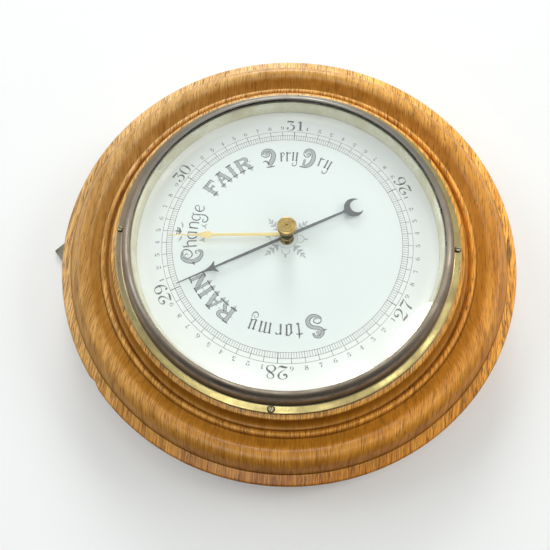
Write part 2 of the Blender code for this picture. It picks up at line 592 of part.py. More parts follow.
set_side = [(0.22, 75.8), (0.42, 62.0), (0.75, 57.5), (1.6, 53.8), (2.6, 51.2), (2.5, 49.9),
            (1.4, 48.6), (0.75, 46.8), (0.95, 24.0), (1.2, 7.0)]
set_hub = [(4.6 * math.sin(a), 4.6 * math.cos(a)) for a in
           [math.radians(16 + 164 * i / 9) for i in range(10)]]
set_right = set_side + set_hub
set_outline = set_right + [(-w, r) for w, r in reversed(set_right) if w > 1e-6]
plate("set_hand", [turn(set_outline, SET_ANGLE), circle(0, 0, 2.75, 16)],
      SET_HAND_Z - 0.3, SET_HAND_Z + 0.3, GILT, parent=set_pivot)

turned("set_knob",
       [(0.0, 61.3), (2.5, 61.3), (2.5, 57.8), (4.5, 57.8), (4.7, 58.4), (4.7, 60.2),
        (5.9, 61.0), (6.15, 61.3), (6.15, 62.9), (5.8, 63.35), (5.0, KNOB_TOP_Z),
        (0.0, KNOB_TOP_Z)], 28, BRIGHT_BRASS, parent=set_pivot)

# ------------------------------------------------------- adjusting screw
adjuster_pivot = pivot("adjuster_hinge", (*ADJUSTER_AT, 4.0))
adjuster = turned("adjusting_screw",
                  [(0.0, 3.0), (2.6, 3.0), (3.0, 3.4), (3.0, 5.6), (1.9, 6.2), (1.9, 23.6),
                   (1.2, 24.2), (0.0, 24.2)], 16, STEEL, at=(*ADJUSTER_AT, 0.0),
                  parent=adjuster_pivot)
slotted(adjuster, ADJUSTER_AT, 1.0, 4.2, 0.9, 9.0, 30.0)

bpy.context.view_layer.update()
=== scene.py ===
"""The looks of the round oak-cased aneroid wall barometer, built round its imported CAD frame."""

import math

import bmesh
import bpy
from mathutils import Matrix, Vector


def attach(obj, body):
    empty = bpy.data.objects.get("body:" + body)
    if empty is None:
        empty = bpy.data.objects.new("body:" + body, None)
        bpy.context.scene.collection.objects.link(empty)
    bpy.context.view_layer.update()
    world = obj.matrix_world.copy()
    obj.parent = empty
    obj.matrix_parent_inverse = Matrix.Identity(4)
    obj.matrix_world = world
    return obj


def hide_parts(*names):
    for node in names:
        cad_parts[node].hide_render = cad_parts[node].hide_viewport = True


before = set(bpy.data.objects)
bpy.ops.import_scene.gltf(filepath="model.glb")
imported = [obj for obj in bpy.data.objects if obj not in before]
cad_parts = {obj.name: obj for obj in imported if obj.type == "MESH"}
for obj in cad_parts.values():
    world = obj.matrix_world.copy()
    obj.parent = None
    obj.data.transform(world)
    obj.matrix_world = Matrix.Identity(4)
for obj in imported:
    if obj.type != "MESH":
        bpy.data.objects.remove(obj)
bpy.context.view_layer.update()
MM = 0.001


# --------------------------------------------------------------- small tools
def clock(radius, degrees):
    a = math.radians(degrees)
    return radius * math.sin(a), radius * math.cos(a)


def arc(cx, cz, rx, rz, a0, a1, n):
    return [
        (
            cx + rx * math.cos(math.radians(a0 + (a1 - a0) * i / n)),
            cz + rz * math.sin(math.radians(a0 + (a1 - a0) * i / n)),
        )
        for i in range(n + 1)
    ]


def add(name, mesh, body="case", mat=None, smooth=40.0):
    obj = bpy.data.objects.new(name, mesh)
    bpy.context.scene.collection.objects.link(obj)
    if mat is not None:
        mesh.materials.append(mat)
    if smooth:
        mesh.shade_smooth()
        mesh.set_sharp_from_angle(angle=math.radians(smooth))
    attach(obj, body)
    return obj


def turned(name, profile, steps, mat, body="case", at=(0.0, 0.0), smooth=40.0, warp=None):
    """The (radius, height) profile, in mm, spun round the vertical line through at."""
    closed_ring = not (profile[0][0] == 0.0 and profile[-1][0] == 0.0)
    bm = bmesh.new()
    rings = []
    for r, z in profile:
        if r == 0.0:
            rings.append([bm.verts.new((at[0] * MM, at[1] * MM, z * MM))])
            continue
        ring = []
        for i in range(steps):
            a = math.tau * i / steps
            rr, zz = warp(r, z, a) if warp else (r, z)
            ring.append(bm.verts.new(((at[0] + rr * math.sin(a)) * MM,
                                      (at[1] + rr * math.cos(a)) * MM, zz * MM)))
        rings.append(ring)
    pairs = list(zip(rings, rings[1:]))
    if closed_ring:
        pairs.append((rings[-1], rings[0]))
    for first, second in pairs:
        for i in range(steps):
            j = (i + 1) % steps
            if len(first) == 1 and len(second) == 1:
                continue
            if len(first) == 1:
                bm.faces.new((first[0], second[i], second[j]))
            elif len(second) == 1:
                bm.faces.new((first[i], second[0], first[j]))
            else:
                bm.faces.new((first[i], second[i], second[j], first[j]))
    bmesh.ops.recalc_face_normals(bm, faces=bm.faces)
    if bm.calc_volume(signed=True) < 0.0:
        bmesh.ops.reverse_faces(bm, faces=bm.faces)
    mesh = bpy.data.meshes.new(name)
    bm.to_mesh(mesh)
    bm.free()
    return add(name, mesh, body, mat, smooth)


def flat_sheet(name, outlines, z, mat, body="case", thickness=0.0, bevel=0.0, smooth=0.0):
    """Closed (x, y) outlines in mm filled at the height z, holes included; solid when thickness is given."""
    curve = bpy.data.curves.new(name, "CURVE")
    curve.dimensions = "2D"
    curve.fill_mode = "BOTH" if thickness else "FRONT"
    curve.extrude = thickness / 2 * MM
    if bevel:
        curve.bevel_depth = bevel * MM
        curve.bevel_resolution = 2
        curve.extrude = (thickness / 2 - bevel) * MM
        curve.offset = -bevel * MM
    for outline in outlines:
        spline = curve.splines.new("POLY")
        spline.points.add(len(outline) - 1)
        for point, (x, y) in zip(spline.points, outline):
            point.co = (x * MM, y * MM, 0.0, 1.0)
        spline.use_cyclic_u = True
    pattern = bpy.data.objects.new(name + "_pattern", curve)
    bpy.context.scene.collection.objects.link(pattern)
    bpy.context.view_layer.update()
    filled = pattern.evaluated_get(bpy.context.evaluated_depsgraph_get())
    bm = bmesh.new()
    bm.from_mesh(filled.to_mesh())
    bmesh.ops.remove_doubles(bm, verts=bm.verts, dist=2e-7)
    if thickness:
        bmesh.ops.recalc_face_normals(bm, faces=bm.faces)
        if bm.calc_volume(signed=True) < 0.0:
            bmesh.ops.reverse_faces(bm, faces=bm.faces)
    else:
        for face in bm.faces:
            if face.normal.z < 0.0:
                face.normal_flip()
    bmesh.ops.translate(bm, vec=(0.0, 0.0, z * MM), verts=bm.verts)
    mesh = bpy.data.meshes.new(name)
    bm.to_mesh(mesh)
    bm.free()
    bpy.data.objects.remove(pattern, do_unlink=True)
    return add(name, mesh, body, mat, smooth)


# ----------------------------------------------------------------- materials
class Shader:
    """A material's node tree with a few shorthands."""

    def __init__(self, name):
        self.mat = bpy.data.materials.new(name)
        self.mat.use_nodes = True
        self.tree = self.mat.node_tree
        self.out = next(n for n in self.tree.nodes if n.type == "OUTPUT_MATERIAL")
        self.bsdf = next(n for n in self.tree.nodes if n.type == "BSDF_PRINCIPLED")

    def node(self, kind, **settings):
        n = self.tree.nodes.new(kind)
        for key, value in settings.items():
            setattr(n, key, value)
        return n

    def link(self, a, b):
        self.tree.links.new(a, b)

    def put(self, **values):
        for key, value in values.items():
            self.bsdf.inputs[key.replace("_", " ")].default_value = value

    def coords(self, scale=(1.0, 1.0, 1.0), rotation=(0.0, 0.0, 0.0), location=(0.0, 0.0, 0.0), source=None):
        if source is None:
            source = self.node("ShaderNodeTexCoord").outputs["Object"]
        m = self.node("ShaderNodeMapping")
        m.inputs["Scale"].default_value = scale
        m.inputs["Rotation"].default_value = rotation
        m.inputs["Location"].default_value = location
        self.link(source, m.inputs["Vector"])
        return m.outputs["Vector"]

    def noise(self, vector, scale, detail=3.0, rough=0.5, distortion=0.0):
        n = self.node("ShaderNodeTexNoise")
        n.inputs["Scale"].default_value = scale
        n.inputs["Detail"].default_value = detail
        n.inputs["Roughness"].default_value = rough
        n.inputs["Distortion"].default_value = distortion
        self.link(vector, n.inputs["Vector"])
        return n.outputs["Fac"]

    def ramp(self, value, stops, interpolation="LINEAR"):
        n = self.node("ShaderNodeValToRGB")
        n.color_ramp.interpolation = interpolation
        while len(n.color_ramp.elements) < len(stops):
            n.color_ramp.elements.new(0.5)
        for element, (at, colour) in zip(n.color_ramp.elements, stops):
            element.position = at
            if not isinstance(colour, tuple):
                colour = (colour, colour, colour)
            element.color = (*colour, 1.0)
        self.link(value, n.inputs["Fac"])
        return n.outputs["Color"]

    def mix(self, a, b, factor, blend="MIX"):
        n = self.node("ShaderNodeMix", data_type="RGBA", blend_type=blend)
        for socket, value in ((n.inputs["Factor"], factor), (n.inputs[6], a), (n.inputs[7], b)):
            if hasattr(value, "is_linked"):
                self.link(value, socket)
            elif isinstance(value, tuple):
                socket.default_value = (*value, 1.0)
            else:
                socket.default_value = value
        return n.outputs[2]

    def math(self, operation, a, b=0.5, c=None, clamp=False):
        n = self.node("ShaderNodeMath", operation=operation, use_clamp=clamp)
        for socket, value in zip(n.inputs, (a, b, c)):
            if value is None:
                continue
            if hasattr(value, "is_linked"):
                self.link(value, socket)
            else:
                socket.default_value = value
        return n.outputs[0]

    def bump(self, height, strength, distance, normal=None):
        n = self.node("ShaderNodeBump")
        n.inputs["Strength"].default_value = strength
        n.inputs["Distance"].default_value = distance
        self.link(height, n.inputs["Height"])
        if normal is not None:
            self.link(normal, n.inputs["Normal"])
        return n.outputs["Normal"]

    def to(self, socket, name):
        self.link(socket, self.bsdf.inputs[name])


def oak_material():
    s = Shader("golden_oak_varnished")
    base = s.node("ShaderNodeTexCoord").outputs["Object"]
    sep = s.node("ShaderNodeSeparateXYZ")
    s.link(base, sep.inputs[0])
    r2 = s.math("ADD", s.math("MULTIPLY", sep.outputs[0], sep.outputs[0]),
                s.math("MULTIPLY", sep.outputs[1], sep.outputs[1]))
    radius = s.math("MULTIPLY", s.math("SQRT", r2), 1000.0)        # mm
    # The boards' grain runs along X; a slow wander bends it.
    wander = s.noise(s.coords((1.0, 1.0, 1.0), source=base), 9.0, 2.0, 0.5)
    shift = s.node("ShaderNodeCombineXYZ")
    s.link(s.math("MULTIPLY", s.math("SUBTRACT", wander, 0.5), 0.016), shift.inputs[1])
    moved = s.node("ShaderNodeVectorMath", operation="ADD")
    s.link(base, moved.inputs[0])
    s.link(shift.outputs[0], moved.inputs[1])
    grain = moved.outputs[0]
    # Broad figure: growth rings cut flat, seen as soft bands along the board.
    rings = s.noise(s.coords((6.0, 95.0, 80.0), source=grain), 1.6, 3.0, 0.55, 0.5)
    facing = s.node("ShaderNodeSeparateXYZ")
    s.link(s.node("ShaderNodeTexCoord").outputs["Normal"], facing.inputs[0])
    side_wall = s.ramp(s.math("ABSOLUTE", facing.outputs[1]), [(0.62, 0.0), (0.84, 1.0)])
    fibres = s.mix(s.noise(s.coords((70.0, 1350.0, 90.0), source=grain), 1.0, 2.5, 0.6),
                   s.noise(s.coords((70.0, 90.0, 1350.0), source=grain), 1.0, 2.5, 0.6), side_wall)
    pores = s.mix(s.noise(s.coords((150.0, 1900.0, 120.0), source=grain), 1.0, 1.5, 0.5),
                  s.noise(s.coords((150.0, 120.0, 1900.0), source=grain), 1.0, 1.5, 0.5), side_wall)
    patch = s.noise(s.coords((7.0, 16.0, 16.0), source=base), 1.0, 2.0, 0.5)
    tone = s.ramp(rings, [(0.30, (0.52, 0.228, 0.023)), (0.46, (0.64, 0.302, 0.036)),
                          (0.60, (0.745, 0.374, 0.055)), (0.76, (0.58, 0.262, 0.029))])
    # The flats (ring, bead, lip) show the fibres most; the rubbed mouldings least.
    flats = None
    for at, half in ((112.4, 2.6), (121.95, 2.4), (146.5, 3.2)):
        d = s.math("ABSOLUTE", s.math("SUBTRACT", radius, at))
        m = s.math("MULTIPLY", s.math("SUBTRACT", 1.0, s.math("DIVIDE", d, half), clamp=True), 3.0, clamp=True)
        flats = m if flats is None else s.math("MAXIMUM", flats, m)
    tone = s.mix(tone, s.ramp(fibres, [(0.36, (0.50, 0.38, 0.22)), (0.48, (0.90, 0.86, 0.80)),
                                       (0.64, (1.16, 1.18, 1.18))]), s.math("MULTIPLY_ADD", flats, 0.40, 0.55), "MULTIPLY")
    # Painted light: the upward-facing flats are lifted paler and whiter.
    tone = s.mix(tone, s.mix(tone, (1.25, 1.36, 1.75), 1.0, "MULTIPLY"), flats)
    tone = s.mix(tone, s.ramp(patch, [(0.30, (0.80, 0.72, 0.60)), (0.58, (1.03, 1.03, 1.03))]), 0.55, "MULTIPLY")
    # Painted light: warmer and more orange towards -Y, paler and whiter with painted sheen towards +Y.
    across = s.math("MULTIPLY_ADD", sep.outputs[1], 3.2, 0.5, clamp=True)
    tone = s.mix(tone, s.ramp(across, [(0.0, (1.18, 1.03, 0.86)), (0.45, (0.92, 0.90, 0.90)), (1.0, (0.86, 0.98, 1.9))]), 1.0, "MULTIPLY")
    # Painted light: darker towards the near side (-X), paler and whiter with painted sheen towards the far side (+X).
    along = s.math("MULTIPLY_ADD", sep.outputs[0], 3.3, 0.5, clamp=True)
    tone = s.mix(tone, s.ramp(along, [(0.0, (0.86, 0.84, 0.76)), (0.20, (0.96, 0.95, 0.92)), (0.5, (1.03, 1.04, 1.06)), (0.95, (1.27, 1.46, 2.35))]), 1.0, "MULTIPLY")
    # Painted shade: the lip towards nine o'clock, on the near side, is darkened most.
    d = s.math("ABSOLUTE", s.math("SUBTRACT", radius, 147.0))
    lip = s.math("MULTIPLY", s.math("SUBTRACT", 1.0, s.math("DIVIDE", d, 3.6), clamp=True), 3.0, clamp=True)
    lip = s.math("MULTIPLY", lip, s.ramp(along, [(0.0, 1.0), (0.20, 0.0)]))
    tone = s.mix(tone, s.mix(tone, (0.76, 0.60, 0.34), 1.0, "MULTIPLY"), lip)
    # End grain, where the moulding cuts across the fibres, takes the stain deeper.
    end_grain = s.ramp(s.math("ABSOLUTE", facing.outputs[0]), [(0.10, 0.0), (0.75, 1.0)])
    tone = s.mix(tone, s.mix(tone, (0.82, 0.72, 0.56), 1.0, "MULTIPLY"), end_grain)
    pore_mask = s.ramp(pores, [(0.34, 1.0), (0.43, 0.0)])
    tone = s.mix(tone, (0.110, 0.036, 0.006), s.math("MULTIPLY", pore_mask, s.math("MULTIPLY_ADD", flats, 0.22, 0.60)))
    # Painted shade: the narrow quirks between the mouldings are darkened.
    quirk_shade = None
    for at, half, depth in ((119.55, 0.60, 0.75), (124.0, 0.45, 0.80), (143.4, 0.55, 0.80), (114.2, 0.35, 0.35), (110.95, 0.45, 0.75)):
        d = s.math("ABSOLUTE", s.math("SUBTRACT", radius, at))
        m = s.math("MULTIPLY", s.math("SUBTRACT", 1.0, s.math("DIVIDE", d, half), clamp=True), depth)
        quirk_shade = m if quirk_shade is None else s.math("MAXIMUM", quirk_shade, m)
    tone = s.mix(tone, (0.050, 0.016, 0.004), quirk_shade)
    # Painted shade: the coves either side of the bead are darkened to a smooth yellow-brown.
    for at, half, depth in ((116.9, 2.6, 0.50), (126.6, 2.9, 0.42)):
        d = s.math("ABSOLUTE", s.math("SUBTRACT", radius, at))
        m = s.math("MULTIPLY", s.math("SMOOTH_MIN", s.math("SUBTRACT", 1.4, s.math("DIVIDE", d, half)), 1.0, 0.3), depth, clamp=True)
        tone = s.mix(tone, (0.36, 0.150, 0.012), m)
    # A dark scorch on the lip at six o'clock, and two shakes in the flat ring.
    for x, y, rx, ry, depth in ((3.6, -145.4, 13.0, 3.0, 0.90), (-3.5, -144.6, 8.0, 1.6, 0.70),
                                (-111.3, -13.5, 2.2, 0.35, 0.90), (-101.8, -45.6, 2.4, 0.40, 0.85)):
        place = s.node("ShaderNodeVectorMath", operation="SUBTRACT")
        s.link(base, place.inputs[0])
        place.inputs[1].default_value = (x * MM, y * MM, 0.0)
        spot_at = s.coords((1000.0 / rx, 1000.0 / ry, 0.0), source=place.outputs[0])
        far = s.node("ShaderNodeVectorMath", operation="LENGTH")
        s.link(spot_at, far.inputs[0])
        ragged = s.math("MULTIPLY", s.math("MULTIPLY_ADD", fibres, 1.4, far.outputs["Value"]), 0.5)
        tone = s.mix(tone, (0.036, 0.013, 0.004), s.ramp(ragged, [(0.44, depth), (0.80, 0.0)]))
    s.to(tone, "Base Color")
    rough = s.ramp(s.noise(s.coords((30.0, 90.0, 90.0), source=base), 1.0, 3.0, 0.6),
                   [(0.30, 0.34), (0.70, 0.50)])
    s.to(rough, "Roughness")
    height = s.math("ADD", s.math("MULTIPLY", fibres, 0.35), s.math("MULTIPLY", pore_mask, -0.9))
    s.to(s.bump(height, 0.55, 0.00016), "Normal")
    s.put(Specular_IOR_Level=0.25, Coat_Weight=0.24, Coat_Roughness=0.20, Coat_IOR=1.5)
    return s.mat


def metal_material(name, tint, dark, roughness, spots=0.5, turned_lines=0.0, scale=60.0, bump=0.15, reflection_dimming=None,
                   towards=(7.0, 6.0, 0.0)):
    """A metal with tarnish patches, fine concentric tool lines on turned pieces, and, when given, one side darkened
    with painted shade.
    """
    s = Shader(name)
    base = s.node("ShaderNodeTexCoord").outputs["Object"]
    cloud = s.noise(s.coords(source=base), scale, 4.0, 0.6)
    fine = s.noise(s.coords(source=base), scale * 6, 3.0, 0.5)
    colour = s.mix(tint, dark, s.ramp(cloud, [(0.42, 0.0), (0.72, spots)]))
    colour = s.mix(colour, dark, s.ramp(fine, [(0.50, 0.0), (0.80, spots * 0.6)]))
    if reflection_dimming:
        # Painted shade: one side is darkened to dim the reflection of the far window.
        lean = s.node("ShaderNodeVectorMath", operation="DOT_PRODUCT")
        s.link(base, lean.inputs[0])
        lean.inputs[1].default_value = towards
        side = s.math("ADD", lean.outputs["Value"], s.math("MULTIPLY", cloud, 0.3))
        colour = s.mix(colour, reflection_dimming, s.ramp(side, [(0.20, 0.0), (0.62, 0.85)]))
    s.to(colour, "Base Color")
    rough = s.mix((roughness,) * 3, (min(1.0, roughness + 0.22),) * 3, s.ramp(cloud, [(0.35, 0.0), (0.7, 1.0)]))
    s.to(rough, "Roughness")
    s.put(Metallic=1.0)
    height = fine
    if turned_lines:
        sep = s.node("ShaderNodeSeparateXYZ")
        s.link(base, sep.inputs[0])
        r2 = s.math("ADD", s.math("MULTIPLY", sep.outputs[0], sep.outputs[0]),
                    s.math("MULTIPLY", sep.outputs[1], sep.outputs[1]))
        line = s.node("ShaderNodeCombineXYZ")
        s.link(s.math("SQRT", r2), line.inputs[0])
        s.link(sep.outputs[2], line.inputs[2])
        height = s.noise(s.coords(source=line.outputs[0]), turned_lines, 2.0, 0.7)
    if bump:
        s.to(s.bump(height, bump, 0.00008), "Normal")
    return s.mat


OAK = oak_material()
# Painted shade darkens the bezel towards the far and left sides, and the band towards the far side, dimming the window
# reflection.
BEZEL_BRASS = metal_material("bezel_brass", (0.47, 0.405, 0.175), (0.23, 0.18, 0.085), 0.23, 0.80, 0.0, 45.0, 0.0,
                             (0.29, 0.24, 0.18))
BAND_BRASS = metal_material("band_brass", (0.34, 0.295, 0.235), (0.17, 0.14, 0.10), 0.34, 0.6, 3500.0, 50.0, 0.02,
                            (0.205, 0.20, 0.18), (8.0, 0.0, 0.0))
SCREW_BRASS = metal_material("screw_brass", (0.46, 0.42, 0.26), (0.13, 0.10, 0.06), 0.30, 0.7, 0.0, 300.0, 0.2)
SILVERED = metal_material("silvered_ring", (0.90, 0.87, 0.72), (0.68, 0.61, 0.36), 0.25, 0.6, 0.0, 60.0, 0.0)
KNOB_BRASS = metal_material("knob_brass", (0.60, 0.46, 0.19), (0.21, 0.13, 0.05), 0.30, 0.75, 9000.0, 260.0, 0.25)
STEM_BRASS = metal_material("stem_brass", (0.115, 0.10, 0.085), (0.03, 0.027, 0.022), 0.40, 0.6, 5000.0, 300.0, 0.2)
DULL_BRASS = metal_material("dull_brass", (0.26, 0.25, 0.19), (0.10, 0.09, 0.06), 0.50, 0.7, 0.0, 90.0, 0.3)
PLATE_BRASS = metal_material("plate_brass", (0.62, 0.47, 0.20), (0.30, 0.20, 0.08), 0.30, 0.5, 0.0, 120.0, 0.15)
STEEL = metal_material("bright_steel", (0.46, 0.46, 0.47), (0.20, 0.17, 0.14), 0.28, 0.5, 0.0, 200.0, 0.15)
BLUED = metal_material("blued_steel", (0.040, 0.047, 0.055), (0.018, 0.018, 0.020), 0.34, 0.5, 0.0, 300.0, 0.1)
NICKEL = metal_material("german_silver", (0.62, 0.60, 0.54), (0.36, 0.33, 0.26), 0.28, 0.5, 2500.0, 120.0, 0.15)
HAND_STEEL = metal_material("hand_steel", (0.165, 0.175, 0.180), (0.095, 0.100, 0.105), 0.40, 0.5, 0.0, 300.0, 0.1)
GILT = metal_material("gilt_brass", (1.0, 0.82, 0.40), (0.86, 0.64, 0.24), 0.30, 0.4, 0.0, 200.0, 0.08)


def iron_material():
    s = Shader("japanned_iron")
    base = s.node("ShaderNodeTexCoord").outputs["Object"]
    n = s.noise(s.coords(source=base), 900.0, 4.0, 0.6)
    s.to(s.ramp(n, [(0.3, (0.012, 0.012, 0.013)), (0.7, (0.030, 0.030, 0.032))]), "Base Color")
    s.put(Roughness=0.42)
    s.to(s.bump(n, 0.35, 0.0002), "Normal")
    return s.mat


IRON = iron_material()


def glaze_material():
    s = Shader("white_glaze")
    base = s.node("ShaderNodeTexCoord").outputs["Object"]
    cloud = s.noise(s.coords(source=base), 14.0, 3.0, 0.5)
    body = s.ramp(cloud, [(0.30, (0.845, 0.922, 0.918)), (0.70, (0.872, 0.940, 0.938))])
    sep = s.node("ShaderNodeSeparateXYZ")
    s.link(base, sep.inputs[0])
    r2 = s.math("ADD", s.math("MULTIPLY", sep.outputs[0], sep.outputs[0]),
                s.math("MULTIPLY", sep.outputs[1], sep.outputs[1]))
    rim = s.ramp(s.math("MULTIPLY", s.math("SQRT", r2), 10.0), [(0.70, 0.0), (0.80, 1.0)])
    s.to(s.mix(body, (0.900, 0.945, 0.940), rim), "Base Color")
    wave = s.noise(s.coords(source=base), 55.0, 2.0, 0.5)
    s.to(s.bump(wave, 0.06, 0.0004), "Normal")
    s.put(Roughness=0.12, Specular_IOR_Level=0.5, Coat_Weight=0.6, Coat_Roughness=0.04)
    return s.mat


GLAZE = glaze_material()


def ink_material(name, colour, fade=0.35):
    s = Shader(name)
    base = s.node("ShaderNodeTexCoord").outputs["Object"]
    n = s.noise(s.coords(source=base), 1100.0, 2.0, 0.6)
    worn = tuple(c + (0.72 - c) * fade for c in colour)
    s.to(s.ramp(n, [(0.40, colour), (0.72, worn)]), "Base Color")
    s.put(Roughness=0.22)
    return s.mat


INK = ink_material("black_print", (0.060, 0.065, 0.070), 0.42)
SHADE = ink_material("grey_print", (0.44, 0.48, 0.49), 0.25)


def glass_material():
    """Thin clear glass: transparent with a fresnel reflection; shadow rays pass."""
    s = Shader("clear_glass")
    s.tree.nodes.remove(s.bsdf)
    path = s.node("ShaderNodeLightPath")
    clear = s.node("ShaderNodeBsdfTransparent")
    clear.inputs["Color"].default_value = (0.990, 1.0, 0.997, 1.0)
    gloss = s.node("ShaderNodeBsdfGlossy")
    gloss.inputs["Roughness"].default_value = 0.015
    gloss.inputs["Color"].default_value = (1.0, 1.0, 1.0, 1.0)
    fresnel = s.node("ShaderNodeFresnel")
    # From inside the pane the node turns the index over; this turns it back, so neither face mirrors totally.
    back = s.node("ShaderNodeNewGeometry").outputs["Backfacing"]
    s.link(s.math("MULTIPLY_ADD", back, 1.0 / 1.52 - 1.52, 1.52), fresnel.inputs["IOR"])
    body = s.node("ShaderNodeMixShader")
    s.link(fresnel.outputs[0], body.inputs[0])
    s.link(clear.outputs[0], body.inputs[1])
    s.link(gloss.outputs[0], body.inputs[2])
    shadow = s.node("ShaderNodeMixShader")
    s.link(path.outputs["Is Shadow Ray"], shadow.inputs[0])
    s.link(body.outputs[0], shadow.inputs[1])
    s.link(clear.outputs[0], shadow.inputs[2])
    s.link(shadow.outputs[0], s.out.inputs["Surface"])
    return s.mat


GLASS = glass_material()


def plain(name, colour, roughness):
    s = Shader(name)
    s.put(Base_Color=(*colour, 1.0), Roughness=roughness)
    return s.mat


# ------------------------------------------- CAD nodes that keep their shape
CARRIED = {
    "hanger_plate": DULL_BRASS, "hanger_screw_left": DULL_BRASS, "hanger_screw_right": DULL_BRASS,
    "bezel_screw_top": SCREW_BRASS, "bezel_screw_right": SCREW_BRASS,
    "bezel_screw_bottom": SCREW_BRASS, "bezel_screw_left": SCREW_BRASS,
    "glass_washer_lower": DULL_BRASS, "glass_washer_upper": DULL_BRASS,
    "movement_drum": DULL_BRASS, "dial_tray": PLATE_BRASS,
    "dial_pillar_1": PLATE_BRASS, "dial_pillar_2": PLATE_BRASS, "dial_pillar_3": PLATE_BRASS,
    "base_plate": PLATE_BRASS, "base_screw_1": STEEL, "base_screw_2": STEEL, "base_screw_3": STEEL,
    "vacuum_capsule": NICKEL, "capsule_post": STEEL, "bridge": IRON, "spring_clamp": PLATE_BRASS,
    "clamp_screw_1": STEEL, "clamp_screw_2": STEEL, "main_spring": BLUED, "main_lever": STEEL,
    "connecting_link": PLATE_BRASS, "rocking_arbor": STEEL, "rocker_bearing_rear": PLATE_BRASS,
    "rocker_bearing_front": PLATE_BRASS, "fusee_chain": STEEL, "upper_plate": PLATE_BRASS,
    "movement_pillar_1": PLATE_BRASS, "movement_pillar_2": PLATE_BRASS, "movement_pillar_3": PLATE_BRASS,
    "arbor_cock": PLATE_BRASS, "cock_screw": STEEL, "hand_arbor": STEEL, "hairspring_collet": PLATE_BRASS,
    "hairspring": BLUED, "hairspring_stud": PLATE_BRASS, "hand_collet": BLUED,
    "indicating_hand": HAND_STEEL, "set_hand": GILT, "set_spindle": STEM_BRASS, "set_hand_nut": STEM_BRASS,
    "set_knob": KNOB_BRASS, "adjusting_screw": STEEL,
    "oak_case": OAK, "bezel": BEZEL_BRASS, "sight_ring": SILVERED, "glass": GLASS, "dial": GLAZE,
}
for node, mat in CARRIED.items():
    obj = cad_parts[node]
    if not obj.material_slots:
        obj.data.materials.append(mat)
    for slot in obj.material_slots:
        slot.material = mat


def curve_through(points, steps=6):
    """Catmull-Rom through (x, y, width) points."""
    if len(points) == 2:
        return [tuple(p) for p in points]
    out = []
    n = len(points)
    for i in range(n - 1):
        p0, p1, p2, p3 = points[max(0, i - 1)], points[i], points[i + 1], points[min(n - 1, i + 2)]
        for k in range(steps):
            t = k / steps
            out.append(tuple(
                0.5 * (2 * b + (c - a) * t + (2 * a - 5 * b + 4 * c - d) * t * t + (3 * b - a - 3 * c + d) * t ** 3)
                for a, b, c, d in zip(p0, p1, p2, p3)))
    out.append(tuple(points[-1]))
    return out


# ------------------------------------------------------------------- the case
def smoothstep(t):
    t = min(1.0, max(0.0, t))
    return t * t * (3 - 2 * t)


def case_profile(n=1):
    p = [(0.0, 8.0), (104.0, 8.0), (104.5, 8.3), (104.5, 45.2), (104.7, 45.55), (105.0, 45.7)]
    p += [(105.0 + 8.5 * i / 6, 45.7) for i in range(1, 7)]
    p += [(113.8, 45.62), (114.1, 45.4), (114.35, 45.05)]
    p += [(118.5 - 4.05 * math.cos(t), 44.75 - 8.35 * math.sin(t))
          for t in (math.pi / 2 * i / 12 for i in range(0, 13))]
    p += [(119.1, 36.35), (119.6, 35.9), (119.95, 35.55), (120.1, 35.7)]
    p += arc(121.95, 37.35, 1.80, 2.15, 200, -5, 14)
    p += [(123.8, 36.9), (123.95, 36.85), (124.1, 37.0)]
    ogee = [(124.1, 37.0, 0), (125.4, 38.1, 0), (127.4, 40.3, 0), (129.4, 42.6, 0), (131.6, 44.0, 0), (134.0, 44.55, 0),
            (136.4, 44.2, 0), (138.6, 43.0, 0), (140.6, 41.2, 0), (142.2, 39.3, 0), (143.15, 37.95, 0)]
    p += [(r, z) for r, z, _ in curve_through(ogee, 4)][1:]
    p += [(143.28, 37.55), (143.5, 37.3), (143.9, 37.28)]
    p += [(143.9 + 4.6 * i / 4, 37.28 - 0.42 * i / 4) for i in range(1, 5)]
    p += arc(148.6, 35.5, 1.38, 1.36, 78, 0, 6)
    p += [(149.98, 33.0), (149.98, 30.2)]
    p += [(149.8, 29.3), (149.2, 28.2), (148.2, 27.2), (147.0, 26.5), (146.2, 25.6), (145.9, 24.4)]
    p += [(145.5, 17.0), (144.9, 8.0), (144.6, 2.0), (144.3, 0.8), (143.6, 0.15), (142.8, 0.0)]
    p += [(120.0, 0.0), (60.0, 0.0), (0.0, 0.0)]
    return p


def case_warp(r, z, a):
    """Hand-finished wood: a very slight wander, and the chip in the lip at ten o'clock."""
    d = math.degrees(a)
    if 104.4 < r < 151.0 and z > 20.0:
        z += 0.05 * math.sin(3 * a + 0.6) + 0.03 * math.sin(7 * a + 1.9)
    if r > 147.0 and z > 28.0:
        away = abs((d - 318.0 + 180.0) % 360.0 - 180.0)
        if away < 1.5:
            depth = (1 - away / 1.5) * 1.1
            r -= depth * smoothstep((z - 31.0) / 4.0)
            z -= 0.5 * depth * smoothstep((z - 34.0) / 1.5)
    return r, z


case = turned("case_turned", case_profile(), 360, OAK, warp=case_warp, smooth=50.0)


def boolean_cut(target, tools):
    for tool in tools:
        mod = target.modifiers.new("cut", "BOOLEAN")
        mod.operation = "DIFFERENCE"
        mod.solver = "EXACT"
        mod.object = tool
    bpy.context.view_layer.update()
    evaluated = target.evaluated_get(bpy.context.evaluated_depsgraph_get())
    mesh = bpy.data.meshes.new_from_object(evaluated)
    old = target.data
    target.modifiers.clear()
    target.data = mesh
    for tool in tools:
        bpy.data.objects.remove(tool, do_unlink=True)
    bpy.data.meshes.remove(old)


def cutter(profile, steps, at):
    tool = turned("cutter", profile, steps, None, at=at, smooth=0.0)
    return tool


def hanger_points(grow):
    half, tip = 15.0 + grow, 172.6
    shoulder = tip - 15.0 * math.tan(math.radians(42.0))
    pts = [(-half, 113.0 - grow), (half, 113.0 - grow), (half, shoulder + grow),
           (0.6, tip + grow * 1.4), (-0.6, tip + grow * 1.4), (-half, shoulder + grow)]
    a = math.radians(1.25)
    return [(x * math.cos(a) - y * math.sin(a), x * math.sin(a) + y * math.cos(a)) for x, y in pts]


